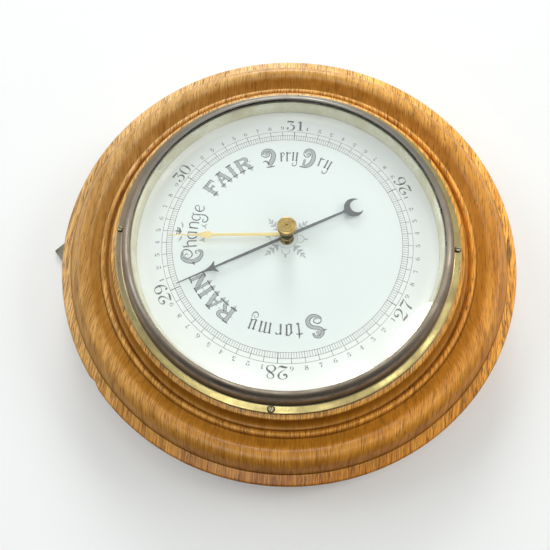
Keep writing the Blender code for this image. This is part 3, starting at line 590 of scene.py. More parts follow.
tools = [flat_sheet("cutter", [hanger_points(0.4)], 0.35, None, thickness=4.7),
         cutter([(0.0, -3.0), (6.0, -3.0), (6.0, 11.0), (0.0, 11.0)], 40, (-34.0, -12.0))]
for x in (-9.0, 9.0):
    a = math.radians(1.25)
    at = (x * math.cos(a) - 124.0 * math.sin(a), x * math.sin(a) + 124.0 * math.cos(a))
    tools.append(cutter([(0.0, -1.0), (3.6, -1.0), (3.6, 0.75), (2.05, 2.3), (2.05, 16.2), (0.0, 16.2)], 20, at))
for angle in (-1.3, 90.6, 181.2, -89.2):
    tools.append(cutter([(0.0, 34.0), (1.65, 34.0), (1.65, 50.0), (0.0, 50.0)], 16, clock(108.5, angle)))
for at in ((-26.0, 39.0), (20.0, -42.0), (-41.0, -25.0)):
    tools.append(cutter([(0.0, 2.0), (1.85, 2.0), (1.85, 11.0), (0.0, 11.0)], 16, at))
boolean_cut(case, tools)
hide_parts("oak_case")

# ------------------------------------------------- bezel: flange and raised band
bezel_profile = (
    [(104.3, 46.0), (110.6, 46.0), (110.9, 46.2), (110.9, 47.3)]
    + arc(110.5, 47.4, 0.4, 0.4, 0, 90, 4)
    + [(109.0, 47.8), (107.4, 47.8), (106.75, 47.85), (106.4, 48.05), (106.15, 48.5), (105.95, 49.4),
       (105.75, 50.6), (105.5, 51.8), (105.1, 53.0), (104.55, 54.1), (103.85, 55.1), (103.0, 56.0),
       (102.1, 56.7), (101.1, 57.2), (100.2, 57.45), (99.4, 57.5), (99.0, 57.35), (98.9, 57.1), (98.95, 56.8),
       (101.0, 56.8), (101.1, 54.2), (104.3, 49.0)]
)
bezel = turned("bezel_turned", bezel_profile, 300, BEZEL_BRASS, smooth=30.0)
boolean_cut(bezel, [cutter([(0.0, 44.0), (1.65, 44.0), (1.65, 50.0), (0.0, 50.0)], 16, clock(108.5, angle))
                    for angle in (-1.3, 90.6, 181.2, -89.2)])
bezel.data.materials.append(BAND_BRASS)
for face in bezel.data.polygons:
    c = face.center
    if math.hypot(c.x, c.y) < 0.1067 and c.z > 0.0478:
        face.material_index = 1
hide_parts("bezel")

# Painted shade in the gap round each screw head and in the slots, with old polish caught there.
GRIME_AND_GAP_SHADE = metal_material("old_polish_and_painted_shade", (0.040, 0.026, 0.014), (0.018, 0.012, 0.008), 0.6, 0.6, 0.0, 300.0, 0.2)
for side, angle, slot_turn in (("top", -1.3, 68.0), ("right", 90.6, 15.0), ("bottom", 181.2, 80.0), ("left", -89.2, -5.0)):
    x, y = clock(108.5, angle)
    ring = [(x + 2.35 * math.cos(math.tau * i / 28), y + 2.35 * math.sin(math.tau * i / 28)) for i in range(28)]
    hole = [(x + 1.78 * math.cos(math.tau * i / 28), y + 1.78 * math.sin(math.tau * i / 28)) for i in range(28)]
    flat_sheet(f"polish_ring_{side}", [ring, hole], 47.815, GRIME_AND_GAP_SHADE)
    a = math.radians(slot_turn)
    strip = [(x + u * math.cos(a) - v * math.sin(a), y + u * math.sin(a) + v * math.cos(a))
             for u, v in ((-1.75, -0.27), (1.75, -0.27), (1.75, 0.27), (-1.75, 0.27))]
    flat_sheet(f"slot_line_{side}", [strip], 48.66, GRIME_AND_GAP_SHADE)

sight = turned("sight_ring_turned",
               [(98.1, 44.3), (98.15, 45.0), (98.3, 48.5), (98.6, 53.4), (98.9, 53.9), (99.5, 54.0), (100.3, 54.0),
                (101.2, 44.3)], 300, SILVERED, smooth=35.0)
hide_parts("sight_ring")

# The glass, with its spindle hole, as one flat pane with a rounded edge.
pane = turned("glass_pane", [(3.0, 54.3), (100.2, 54.3), (100.5, 54.5), (100.6, 54.8), (100.6, 56.0),
                             (100.5, 56.3), (100.2, 56.5), (3.0, 56.5)], 240, GLASS, smooth=30.0)
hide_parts("glass")
pane.visible_shadow = False

dial = turned("dial_plate",
              [(4.5, 41.0), (100.6, 41.0), (101.2, 41.6), (101.3, 42.4), (101.25, 43.4), (100.9, 43.85),
               (100.3, 44.0), (99.0, 44.0), (70.0, 44.0), (35.0, 44.0), (5.2, 44.0), (4.7, 43.8), (4.5, 43.4)],
              240, GLAZE, smooth=30.0)
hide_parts("dial")


# The brass knob of the set hand, ringed on top, on its stepped dark stem.
knob = turned("set_knob_turned",
              [(0.0, 61.3), (2.5, 61.3), (2.5, 57.8), (4.35, 57.8), (4.5, 57.95), (4.5, 58.35), (4.35, 58.5),
               (4.35, 58.75), (4.6, 58.9), (4.65, 60.1), (4.9, 60.4), (5.8, 60.95), (6.05, 61.15), (6.15, 61.45),
               (6.15, 61.75), (6.05, 61.85), (6.05, 62.05), (6.15, 62.15), (6.15, 62.8), (6.05, 63.05), (5.85, 63.25),
               (5.5, 63.38), (4.95, 63.42), (4.8, 63.25), (4.6, 63.2), (4.4, 63.28), (4.25, 63.42), (3.4, 63.48),
               (2.4, 63.48), (2.25, 63.32), (2.05, 63.32), (1.9, 63.46), (0.95, 63.48), (0.75, 63.2), (0.5, 62.95),
               (0.0, 62.85)], 96, KNOB_BRASS, body="setter", smooth=32.0)
knob.data.materials.append(STEM_BRASS)
for face in knob.data.polygons:
    if face.center.z < 0.0606:
        face.material_index = 1
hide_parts("set_knob")

# ------------------------------------------------------------ dial printing
class Print:
    """Flat shapes lying on the dial face, gathered into one mesh per ink."""

    def __init__(self, name, mat, z):
        self.name, self.mat, self.z = name, mat, z * MM
        self.bm = bmesh.new()

    def polygon(self, points):
        verts = [self.bm.verts.new((x * MM, y * MM, self.z)) for x, y in points]
        return self.bm.faces.new(verts)

    def strip(self, left, right):
        a = [self.bm.verts.new((x * MM, y * MM, self.z)) for x, y in left]
        b = [self.bm.verts.new((x * MM, y * MM, self.z)) for x, y in right]
        for i in range(len(a) - 1):
            self.bm.faces.new((a[i], b[i], b[i + 1], a[i + 1]))

    def done(self):
        for face in self.bm.faces:
            face.normal_update()
            if face.normal.z < 0.0:
                face.normal_flip()
        mesh = bpy.data.meshes.new(self.name)
        self.bm.to_mesh(mesh)
        self.bm.free()
        obj = add(self.name, mesh, "case", self.mat, 0.0)
        obj.visible_shadow = False
        return obj


def edges_of(path):
    left, right = [], []
    n = len(path)
    for i, (x, y, w) in enumerate(path):
        ax, ay, _ = path[max(0, i - 1)]
        bx, by, _ = path[min(n - 1, i + 1)]
        dx, dy = bx - ax, by - ay
        size = math.hypot(dx, dy) or 1.0
        nx, ny = -dy / size, dx / size
        h = max(0.02, w) / 2
        left.append((x + nx * h, y + ny * h))
        right.append((x - nx * h, y - ny * h))
    return left, right


def stroke(ink, points, steps=6):
    ink.strip(*edges_of(curve_through(points, steps)))


def spot(ink, x, y, r, n=12, squash=1.0):
    ink.polygon([(x + r * math.cos(math.tau * i / n), y + r * squash * math.sin(math.tau * i / n)) for i in range(n)])


INK_PRINT = Print("dial_print_black", INK, 44.035)
GREY_PRINT = Print("dial_print_grey", SHADE, 44.02)


# The ladder scale: three circles, a mark every 0.02 inch, longer at tenths and inches.
def circle_line(ink, radius, width, steps=480):
    inner = [clock(radius - width / 2, 360.0 * i / steps) for i in range(steps + 1)]
    outer = [clock(radius + width / 2, 360.0 * i / steps) for i in range(steps + 1)]
    ink.strip(inner, outer)


for radius, width in ((81.68, 0.24), (78.6, 0.26), (75.0, 0.26)):
    circle_line(INK_PRINT, radius, width)
for i in range(300):
    angle = 1.2 * i
    if i % 50 == 25:
        r0, r1, width = 75.0, 81.7, 0.55
    elif i % 5 == 0:
        r0, r1, width = 75.0, 81.7, 0.32
    else:
        r0, r1, width = 75.0, 78.6, 0.22
    a, b = clock(r0, angle), clock(r1, angle)
    stroke(INK_PRINT, [(a[0], a[1], width), (b[0], b[1], width)])

# Figures, drawn in a box one unit high: strokes as (x, y, width), balls as (x, y, r).
FIGURES = {
    "0": ([[(0.40, 0.985, 0.03), (0.62, 0.90, 0.08), (0.71, 0.50, 0.17), (0.62, 0.10, 0.08), (0.40, 0.015, 0.03),
            (0.18, 0.10, 0.08), (0.09, 0.50, 0.17), (0.18, 0.90, 0.08), (0.40, 0.985, 0.03)]], [], 0.80),
    "1": ([[(0.40, 0.03, 0.17), (0.40, 0.93, 0.17)], [(0.42, 0.985, 0.05), (0.28, 0.86, 0.10), (0.16, 0.80, 0.03)],
           [(0.16, 0.02, 0.04), (0.64, 0.02, 0.04)]], [], 0.72),
    "2": ([[(0.30, 0.60, 0.03), (0.14, 0.62, 0.10), (0.08, 0.76, 0.12), (0.18, 0.93, 0.05), (0.40, 0.985, 0.035),
            (0.62, 0.92, 0.10), (0.70, 0.74, 0.16), (0.60, 0.52, 0.10), (0.40, 0.36, 0.04), (0.18, 0.20, 0.03),
            (0.09, 0.06, 0.03)],
           [(0.08, 0.07, 0.06), (0.28, 0.10, 0.13), (0.52, 0.06, 0.15), (0.70, 0.10, 0.06), (0.76, 0.24, 0.03)]],
          [(0.27, 0.66, 0.085)], 0.84),
    "3": ([[(0.12, 0.90, 0.15), (0.66, 0.90, 0.15)], [(0.68, 0.96, 0.03), (0.52, 0.74, 0.035), (0.36, 0.57, 0.035)],
           [(0.36, 0.57, 0.04), (0.56, 0.55, 0.08), (0.70, 0.40, 0.15), (0.70, 0.22, 0.16), (0.56, 0.05, 0.09),
            (0.34, 0.0, 0.035), (0.14, 0.07, 0.04), (0.08, 0.20, 0.04)],
           [(0.12, 0.98, 0.03), (0.12, 0.74, 0.03)]], [(0.17, 0.22, 0.09)], 0.82),
    "4": ([[(0.56, 0.02, 0.16), (0.56, 0.97, 0.16)], [(0.54, 0.98, 0.04), (0.06, 0.30, 0.035)],
           [(0.06, 0.28, 0.045), (0.80, 0.28, 0.045)], [(0.36, 0.02, 0.04), (0.76, 0.02, 0.04)]], [], 0.84),
    "5": ([[(0.18, 0.94, 0.12), (0.44, 0.90, 0.13), (0.68, 0.96, 0.03)], [(0.17, 0.98, 0.035), (0.15, 0.50, 0.035)],
           [(0.15, 0.50, 0.035), (0.34, 0.60, 0.05), (0.58, 0.54, 0.12), (0.69, 0.32, 0.17), (0.58, 0.08, 0.10),
            (0.36, 0.0, 0.035), (0.16, 0.07, 0.04), (0.09, 0.20, 0.04)]], [(0.18, 0.23, 0.09)], 0.80),
    "6": ([[(0.40, 0.56, 0.035), (0.60, 0.50, 0.08), (0.69, 0.28, 0.16), (0.58, 0.06, 0.08), (0.40, 0.01, 0.035),
            (0.20, 0.07, 0.07), (0.10, 0.34, 0.16), (0.17, 0.66, 0.12), (0.36, 0.92, 0.05), (0.56, 0.985, 0.03)],
           [(0.17, 0.42, 0.03), (0.26, 0.53, 0.035), (0.40, 0.56, 0.035)]], [(0.58, 0.90, 0.085)], 0.80),
    "7": ([[(0.08, 0.84, 0.04), (0.20, 0.90, 0.13), (0.42, 0.89, 0.14), (0.62, 0.93, 0.08), (0.74, 0.98, 0.03)],
           [(0.74, 0.98, 0.03), (0.56, 0.66, 0.05), (0.42, 0.34, 0.14), (0.40, 0.03, 0.18)],
           [(0.08, 0.98, 0.03), (0.08, 0.76, 0.03)]], [], 0.80),
    "8": ([[(0.40, 0.985, 0.03), (0.20, 0.93, 0.07), (0.16, 0.76, 0.12), (0.34, 0.57, 0.15), (0.58, 0.44, 0.17),
            (0.71, 0.26, 0.12), (0.62, 0.07, 0.06), (0.40, 0.01, 0.03), (0.16, 0.08, 0.09), (0.08, 0.26, 0.15),
            (0.20, 0.44, 0.07), (0.42, 0.56, 0.03), (0.60, 0.68, 0.05), (0.64, 0.80, 0.08), (0.56, 0.94, 0.05),
            (0.40, 0.985, 0.03)]], [], 0.80),
    "9": ([[(0.40, 0.44, 0.035), (0.20, 0.50, 0.08), (0.11, 0.72, 0.16), (0.22, 0.94, 0.08), (0.40, 0.99, 0.035),
            (0.60, 0.93, 0.07), (0.70, 0.66, 0.16), (0.63, 0.34, 0.12), (0.44, 0.08, 0.05), (0.24, 0.015, 0.03)],
           [(0.63, 0.58, 0.03), (0.54, 0.47, 0.035), (0.40, 0.44, 0.035)]], [(0.22, 0.10, 0.085)], 0.80),
}


def figure(ink, text, angle, radius, height, inward=False, gap=0.06, weight=1.0):
    """Figures centred at this angle and radius, tops outward or towards the centre."""
    total = sum(FIGURES[c][2] for c in text) + gap * (len(text) - 1)
    cx, cy = clock(radius, angle)
    a = math.radians(angle + (180.0 if inward else 0.0))
    ca, sa = math.cos(a), math.sin(a)

    def at(x, y):
        x, y = (x - total / 2) * height, (y - 0.5) * height
        return cx + x * ca + y * sa, cy - x * sa + y * ca

    start = 0.0
    for c in text:
        strokes, balls, width = FIGURES[c]
        for line in strokes:
            stroke(ink, [(*at(x + start, y), w * height * weight) for x, y, w in line], 5)
        for x, y, r in balls:
            spot(ink, *at(x + start, y), r * height * min(1.0, weight))
        start += width + gap


for inch in range(26, 32):
    angle = (inch - 29.5) * 60.0
    figure(INK_PRINT, str(inch), angle, 86.75 if inch in (26, 27) else 86.9, 8.0, inward=inch in (26, 27))
for i in range(60):
    if i % 10 == 5:
        continue
    angle = 6.0 * i
    tenth = (i + 5) % 10
    inward = 93.0 < angle < 267.0
    figure(INK_PRINT, str(tenth), angle, 84.75, 2.8, inward=inward, weight=1.25)


# Weather words: strokes as (clockwise degrees, radius in mm, width in mm).
def polar(points):
    return [(*clock(r, t), w) for t, r, w in points]


def word_stroke(points, ink=None, steps=6):
    stroke(ink or INK_PRINT, polar(points), steps)


def outlined(points, line=0.34, steps=6):
    """A grey stroke with a dark line down each edge."""
    path = curve_through(polar(points), steps)
    left, right = edges_of(path)
    GREY_PRINT.strip(left, right)
    for edge in (left, right):
        INK_PRINT.strip(*edges_of([(x, y, line) for x, y in edge]))


def serif(t0, t1, r, height=0.75):
    word_stroke([(t0, r, height), ((t0 + t1) / 2, r - 0.15, height * 1.35), (t1, r, height)])


def drop(t, r, half):
    """The small pointed shadow under a letter's foot."""
    GREY_PRINT.polygon([clock(r, t - half), clock(r - 2.3, t), clock(r, t + half)])


# "Change", with a scrolled capital
outlined([(-12.4, 68.4, 1.0), (-14.9, 68.9, 1.6), (-17.0, 67.6, 2.0), (-18.4, 65.0, 2.5), (-19.0, 61.8, 2.8),
          (-18.2, 58.6, 2.6), (-15.9, 56.3, 2.0), (-13.3, 56.3, 1.6), (-12.2, 58.0, 1.2)], 0.42)
word_stroke([(-12.2, 58.4, 0.7), (-12.8, 59.8, 0.6), (-14.1, 59.7, 0.5), (-14.2, 58.6, 0.3)])
word_stroke([(-12.9, 69.0, 0.5), (-11.2, 67.4, 0.8), (-11.0, 65.2, 0.85), (-12.4, 62.9, 0.75), (-14.6, 62.2, 0.7),
             (-16.1, 63.5, 0.65), (-16.4, 65.4, 0.6), (-15.5, 66.9, 0.5), (-14.1, 66.9, 0.5), (-13.5, 65.8, 0.45),
             (-14.3, 64.9, 0.35)])
word_stroke([(-21.6, 62.0, 0.2), (-20.2, 62.4, 1.3), (-19.4, 62.4, 2.2)])
word_stroke([(-9.1, 67.4, 0.95), (-9.15, 58.9, 0.95)])
word_stroke([(-9.9, 67.2, 0.3), (-8.2, 67.9, 0.4)])
word_stroke([(-8.9, 63.6, 0.4), (-7.6, 64.9, 0.8), (-6.0, 64.4, 0.9), (-5.65, 62.4, 0.8), (-5.7, 58.9, 0.8)])
word_stroke([(-0.2, 64.2, 0.4), (-2.2, 65.0, 0.7), (-3.7, 63.8, 0.8), (-4.0, 61.8, 0.9), (-3.4, 59.6, 0.8),
             (-1.8, 59.0, 0.7), (-0.2, 60.3, 0.4)])
word_stroke([(0.0, 65.2, 0.9), (0.0, 58.9, 0.9)])
word_stroke([(3.0, 65.0, 0.95), (2.9, 58.9, 0.95)])
word_stroke([(3.2, 63.6, 0.4), (4.7, 65.0, 0.8), (6.1, 64.4, 0.9), (6.6, 62.4, 0.85), (6.8, 58.9, 0.85)])
word_stroke([(11.9, 63.8, 0.5), (10.4, 64.9, 0.65), (8.7, 63.9, 0.75), (8.2, 61.9, 0.8), (8.8, 60.0, 0.75),
             (10.3, 59.3, 0.6), (11.9, 60.2, 0.4)])
word_stroke([(11.7, 65.0, 0.6), (12.1, 62.0, 0.8), (12.9, 58.6, 0.8), (12.9, 56.2, 0.8), (11.6, 54.4, 0.75),
             (9.6, 54.2, 0.75), (8.1, 55.4, 0.7), (8.3, 56.9, 0.6), (9.8, 57.2, 0.5), (10.2, 56.3, 0.4)])
word_stroke([(11.6, 64.6, 0.5), (12.9, 65.3, 0.5)])
word_stroke([(15.0, 61.5, 0.5), (18.1, 63.4, 0.5)])
word_stroke([(18.2, 63.6, 0.5), (17.4, 65.1, 0.6), (15.7, 64.9, 0.75), (14.6, 63.0, 0.85), (14.8, 60.7, 0.85),
             (16.2, 59.3, 0.75), (17.8, 59.4, 0.6), (18.9, 60.6, 0.4)])


def leaf(t, r, length, width, lean, ink):
    """A small pointed leaf at (t, r), lying lean degrees from outward."""
    x, y = clock(r, t)
    a = math.radians(t + lean)
    ux, uy = math.sin(a), math.cos(a)
    stroke(ink, [(x - ux * length / 2, y - uy * length / 2, 0.1), (x - ux * length * 0.1, y - uy * length * 0.1, width),
                 (x + ux * length / 2, y + uy * length / 2, 0.1)])


# Small sprays above and below "Change"
for t, r, length, width, lean in ((0.2, 71.6, 5.2, 1.5, 0.0), (-1.0, 70.7, 3.4, 1.0, -50.0), (1.5, 70.9, 3.4, 1.1, 48.0),
                                  (-1.2, 72.4, 2.2, 0.8, -75.0), (1.7, 72.3, 2.4, 0.8, 75.0)):
    leaf(t, r, length, width, lean, INK_PRINT)
for side in (-1, 1):
    leaf(side * 4.4, 69.8, 4.2, 1.3, side * 62.0, GREY_PRINT)
    leaf(side * 3.2, 69.2, 2.6, 0.9, side * 95.0, GREY_PRINT)
    leaf(side * 5.2, 55.6, 4.0, 1.3, side * 18.0, GREY_PRINT)
    leaf(side * 6.0, 54.4, 2.6, 1.0, side * -40.0, GREY_PRINT)
    leaf(side * 4.4, 54.3, 2.6, 1.0, side * 60.0, GREY_PRINT)


def tuscan(letter, t):
    """A shaded slab capital 10 mm high whose middle stands at angle t."""
    if letter == "I":
        outlined([(t, 67.6, 2.3), (t, 63.0, 2.0), (t, 58.6, 2.3)])
        serif(t - 1.75, t + 1.75, 67.7)
        serif(t - 2.0, t + 2.0, 58.2)
        drop(t, 57.6, 1.3)
        spurs = ((t - 1.2, t - 2.2), (t + 1.2, t + 2.2))
    elif letter == "F":
        outlined([(t - 2.1, 67.6, 2.3), (t - 2.1, 63.0, 2.1), (t - 2.1, 58.6, 2.3)])
        outlined([(t - 1.0, 66.9, 1.5), (t + 2.6, 66.9, 1.5)])
        word_stroke([(t - 3.6, 67.8, 0.5), (t + 3.4, 67.9, 0.6)])
        word_stroke([(t + 3.2, 68.0, 0.7), (t + 3.5, 66.2, 0.9), (t + 3.7, 64.6, 0.3)])
        outlined([(t - 1.0, 63.1, 1.2), (t + 1.2, 63.1, 1.3)])
        word_stroke([(t + 1.4, 64.4, 0.5), (t + 1.5, 61.7, 0.6)])
        serif(t - 4.3, t + 0.1, 58.2)
        drop(t - 2.1, 57.6, 1.5)
        spurs = ((t - 3.3, t - 4.3),)
    elif letter == "A":
        outlined([(t - 0.2, 67.6, 1.5), (t - 1.9, 62.6, 1.2), (t - 3.2, 58.6, 1.3)], 0.3)
        outlined([(t + 0.3, 67.6, 2.4), (t + 1.6, 62.6, 2.3), (t + 2.7, 58.6, 2.5)])
        outlined([(t - 1.6, 61.5, 1.1), (t + 1.2, 61.5, 1.1)], 0.28)
        serif(t - 1.9, t + 1.9, 67.8)
        serif(t - 5.0, t - 1.3, 58.2)
        serif(t + 0.6, t + 4.6, 58.2)
        drop(t - 3.2, 57.6, 1.4)
        drop(t + 2.6, 57.6, 1.4)
        spurs = ((t - 2.1, t - 3.6), (t + 2.5, t + 3.4))
    elif letter == "R":
        outlined([(t - 2.6, 67.6, 2.5), (t - 2.6, 63.0, 2.3), (t - 2.6, 58.6, 2.5)])
        outlined([(t - 1.6, 67.1, 1.1), (t + 0.6, 67.1, 1.4), (t + 2.5, 66.6, 2.0), (t + 3.1, 65.2, 2.2),
                  (t + 2.1, 63.6, 1.8), (t - 0.2, 62.8, 1.2), (t - 1.4, 62.8, 1.0)])
        outlined([(t + 0.6, 62.6, 1.6), (t + 2.4, 60.6, 2.2), (t + 3.6, 58.6, 2.4)])
        serif(t - 4.4, t - 1.0, 67.9, 0.6)
        serif(t - 5.0, t - 0.3, 58.2)
        serif(t + 1.2, t + 5.6, 58.2)
        drop(t - 2.6, 57.6, 1.4)
        drop(t + 3.6, 57.6, 1.4)
        spurs = ((t - 3.9, t - 5.0), (t + 4.2, t + 5.4))
    else:
        outlined([(t - 3.1, 67.6, 1.5), (t - 3.1, 58.6, 1.5)], 0.3)
        outlined([(t - 3.2, 67.4, 2.0), (t + 0.0, 62.8, 2.6), (t + 2.9, 58.6, 2.2)])
        outlined([(t + 2.9, 67.6, 1.5), (t + 2.9, 58.6, 1.5)], 0.3)
        serif(t - 4.9, t - 1.7, 67.8)
        serif(t + 1.2, t + 4.6, 67.8)
        serif(t - 4.8, t - 1.5, 58.2)
        serif(t + 1.3, t + 4.4, 58.2)
        drop(t - 3.1, 57.6, 1.3)
        spurs = ((t - 3.9, t - 5.0), (t + 3.6, t + 4.6))
    for near, far in spurs:
        word_stroke([(near, 63.2, 1.1), (far, 63.2, 0.15)], GREY_PRINT)


for letter, t in (("F", 32.4), ("A", 41.6), ("I", 49.1), ("R", 57.4),
                  ("R", -56.9), ("A", -47.2), ("I", -39.9), ("N", -32.5)):
    tuscan(letter, t)


def black_stem(t, r0, r1, lean=0.0, width=0.95):
    """A black-letter upright with small diamond feet."""
    word_stroke([(t + lean, r1, width), (t, r0, width)])
    for tt, r in ((t + lean, r1), (t, r0)):
        x, y = clock(r, tt)
        a = math.radians(tt)
        pts = []
        for u, v in ((-0.95, 0.0), (0.0, 0.62), (0.95, 0.0), (0.0, -0.62)):
            pts.append((x + u * math.cos(a) + v * math.sin(a), y - u * math.sin(a) + v * math.cos(a)))
        INK_PRINT.polygon(pts)


# "Very Dry"
outlined([(73.9, 55.3, 1.6), (75.4, 57.8, 3.0), (77.0, 60.6, 3.2), (77.8, 63.6, 2.8), (76.9, 66.6, 2.2),
          (74.6, 68.2, 1.8), (72.2, 67.4, 1.5), (70.9, 65.2, 1.3)], 0.45)
word_stroke([(70.2, 65.4, 0.4), (70.9, 63.9, 0.7), (73.0, 62.6, 0.75), (75.0, 63.3, 0.7), (75.6, 65.2, 0.6),
             (74.6, 66.6, 0.5), (73.2, 66.2, 0.4)])
GREY_PRINT.polygon([clock(r, t) for t, r in ((72.0, 65.5), (73.5, 66.9), (75.2, 66.0), (74.9, 63.9), (72.8, 63.4))])
word_stroke([(69.8, 59.0, 0.3), (71.6, 59.6, 0.9), (72.8, 58.8, 1.2), (73.6, 56.6, 1.3)])
serif(71.4, 77.4, 54.6, 0.7)
black_stem(82.4, 58.1, 64.2, 0.2)
word_stroke([(82.6, 64.3, 0.4), (84.0, 64.6, 0.7), (84.7, 62.9, 0.7)])
word_stroke([(82.8, 61.2, 0.35), (84.4, 62.4, 0.35)])
black_stem(86.3, 58.0, 64.6)
word_stroke([(86.5, 64.0, 0.5), (88.6, 64.4, 0.9)])
black_stem(90.2, 58.6, 64.7)
black_stem(92.6, 58.6, 64.7)
word_stroke([(92.7, 58.4, 0.6), (93.0, 55.8, 0.5), (91.8, 54.3, 0.7), (90.2, 54.6, 0.6), (90.0, 56.0, 0.4),
             (91.0, 56.6, 0.3)])
outlined([(98.8, 54.9, 1.4), (101.4, 56.2, 2.4), (103.0, 59.4, 2.7), (103.2, 63.2, 2.6), (102.0, 66.9, 2.2),
          (99.9, 68.6, 1.8), (97.9, 67.6, 1.5), (97.0, 65.3, 1.2)], 0.45)
word_stroke([(96.4, 65.2, 0.4), (97.2, 63.4, 0.7), (98.8, 62.4, 0.7), (100.5, 63.4, 0.65), (100.7, 65.4, 0.6),
             (99.6, 66.4, 0.4)])
GREY_PRINT.polygon([clock(r, t) for t, r in ((98.0, 65.0), (99.0, 66.7), (100.4, 65.6), (100.1, 63.8), (98.6, 63.4))])
outlined([(98.1, 60.6, 1.1), (97.9, 55.2, 1.3)], 0.35)
serif(95.2, 100.6, 54.4, 0.7)
black_stem(107.8, 58.4, 64.4)
word_stroke([(108.0, 64.0, 0.5), (110.0, 64.3, 0.85)])
black_stem(112.2, 58.6, 64.6)
black_stem(114.6, 58.6, 64.6)
word_stroke([(114.7, 58.4, 0.6), (115.0, 55.8, 0.5), (113.8, 54.1, 0.7), (112.2, 54.4, 0.6), (112.1, 55.8, 0.4)])

# "Stormy"
outlined([(-108.4, 64.9, 0.9), (-108.7, 67.2, 1.2), (-110.8, 68.2, 1.5), (-112.9, 66.9, 1.8), (-113.4, 64.7, 2.0),
          (-111.8, 62.8, 2.0), (-109.2, 61.6, 2.1), (-107.3, 59.8, 2.4), (-106.9, 57.4, 2.5), (-108.5, 55.2, 2.2),
          (-111.3, 54.6, 1.8), (-113.9, 55.9, 1.4), (-115.4, 58.0, 0.9)], 0.45)
word_stroke([(-115.4, 58.2, 0.5), (-114.4, 59.7, 0.65), (-112.6, 60.1, 0.7), (-110.9, 59.2, 0.65), (-110.5, 57.7, 0.6),
             (-111.8, 56.7, 0.5), (-113.2, 57.4, 0.4)])
word_stroke([(-116.0, 65.4, 0.2), (-114.6, 65.1, 1.2), (-113.6, 64.9, 1.8)])
GREY_PRINT.polygon([clock(r, t) for t, r in ((-112.4, 65.2), (-112.0, 67.0), (-110.2, 67.2), (-109.6, 64.8), (-110.8, 63.9))])
word_stroke([(-100.5, 66.9, 0.3), (-100.8, 64.6, 0.9), (-101.0, 60.4, 0.95), (-100.8, 57.7, 1.0)])
word_stroke([(-102.9, 63.9, 0.5), (-101.0, 64.2, 0.7), (-99.1, 63.8, 0.4)])
word_stroke([(-101.7, 58.0, 0.5), (-100.6, 57.4, 0.9), (-99.8, 58.0, 0.4)])
black_stem(-96.5, 57.9, 63.0, width=1.0)
black_stem(-93.9, 58.2, 64.1, width=1.05)
word_stroke([(-96.5, 63.0, 0.5), (-95.0, 64.6, 0.7), (-93.6, 64.2, 0.5)])
word_stroke([(-96.4, 57.8, 0.7), (-95.2, 57.4, 0.7), (-94.0, 58.4, 0.5)])
black_stem(-90.3, 57.8, 63.7, -0.2, 1.1)
word_stroke([(-90.1, 63.5, 0.4), (-88.6, 64.0, 0.7), (-87.7, 63.1, 1.0)])
for t in (-84.1, -81.3, -78.6):
    black_stem(t, 57.9, 63.9, -0.2, 1.0)
word_stroke([(-84.0, 63.3, 0.3), (-81.6, 64.4, 0.4)])
word_stroke([(-81.2, 63.3, 0.3), (-78.9, 64.4, 0.4)])
black_stem(-75.0, 58.0, 63.9, -0.2, 1.0)
black_stem(-72.5, 58.8, 64.3, -0.2, 0.95)
word_stroke([(-75.0, 57.8, 0.5), (-73.6, 58.2, 0.5), (-72.5, 58.8, 0.5)])
word_stroke([(-72.4, 58.4, 0.4), (-71.6, 56.2, 0.45), (-72.1, 54.0, 0.7), (-73.6, 53.2, 0.75), (-75.1, 54.2, 0.5),
             (-75.3, 55.9, 0.35), (-74.0, 57.0, 0.3), (-73.0, 56.2, 0.3), (-73.4, 55.2, 0.3)])

# Foliate spray round the arbor: four branches with paired leaves
for branch in range(4):
    t = 45.0 + 90.0 * branch
    word_stroke([(t, 7.2, 0.9), (t, 16.8, 0.25)], GREY_PRINT)
    for r, size, lean in ((9.4, 4.2, 42.0), (12.6, 3.8, 46.0), (15.2, 2.9, 40.0)):
        for side in (-1, 1):
            a = math.degrees(math.atan2(1.5 * size / 4.2, r))
            leaf(t + side * a, r, size, size * 0.36, side * lean, GREY_PRINT)
            leaf(t + side * a * 0.7, r + 0.4, size * 0.6, size * 0.12, side * lean, GREY_PRINT)
    leaf(t, 17.2, 3.4, 1.2, 0.0, GREY_PRINT)
    t2 = 90.0 * branch
    word_stroke([(t2 - 18.0, 8.2, 0.35), (t2 - 12.0, 10.4, 0.45), (t2, 11.4, 0.5), (t2 + 12.0, 10.4, 0.45), (t2 + 18.0, 8.2, 0.35)], GREY_PRINT)
    leaf(t2, 12.7, 3.0, 1.2, 0.0, GREY_PRINT)
circle_line(GREY_PRINT, 7.1, 0.3, 60)

INK_PRINT.done()
GREY_PRINT.done()

# ----------------------------------------------------------------- the camera
def fitted_camera():
    a, e, roll = math.radians(278.142), math.radians(70.666), math.radians(-3.97)
    target = Vector((-0.025961, 0.005664, 0.044))
    d = Vector((math.sin(a) * math.cos(e), -math.cos(a) * math.cos(e), math.sin(e)))
    forward = -d
    right = forward.cross(Vector((0, 0, 1))).normalized()
    up = right.cross(forward)
    right2 = math.cos(roll) * right + math.sin(roll) * up
    up2 = -math.sin(roll) * right + math.cos(roll) * up
    m = Matrix((right2, up2, d)).transposed().to_4x4()
    m.translation = target + d * 0.3125
    data = bpy.data.cameras.new("camera")
    data.sensor_fit = "HORIZONTAL"
    data.angle = math.radians(58.405)
    data.clip_start, data.clip_end = 0.01, 20.0
    obj = bpy.data.objects.new("camera", data)
    obj.matrix_world = m
    bpy.context.scene.collection.objects.link(obj)
    bpy.context.scene.camera = obj
    return obj


fitted_camera()

# ------------------------------------------------------ floor, world and lights
mesh = bpy.data.meshes.new("white_sheet")
bm = bmesh.new()
bmesh.ops.create_grid(bm, x_segments=1, y_segments=1, size=9.0)
bm.to_mesh(mesh)
bm.free()
floor = bpy.data.objects.new("white_sheet", mesh)
floor.location = (0.0, 0.0, -0.0002)
bpy.context.scene.collection.objects.link(floor)
mesh.materials.append(plain("white_sheet", (0.915, 0.945, 0.955), 0.80))

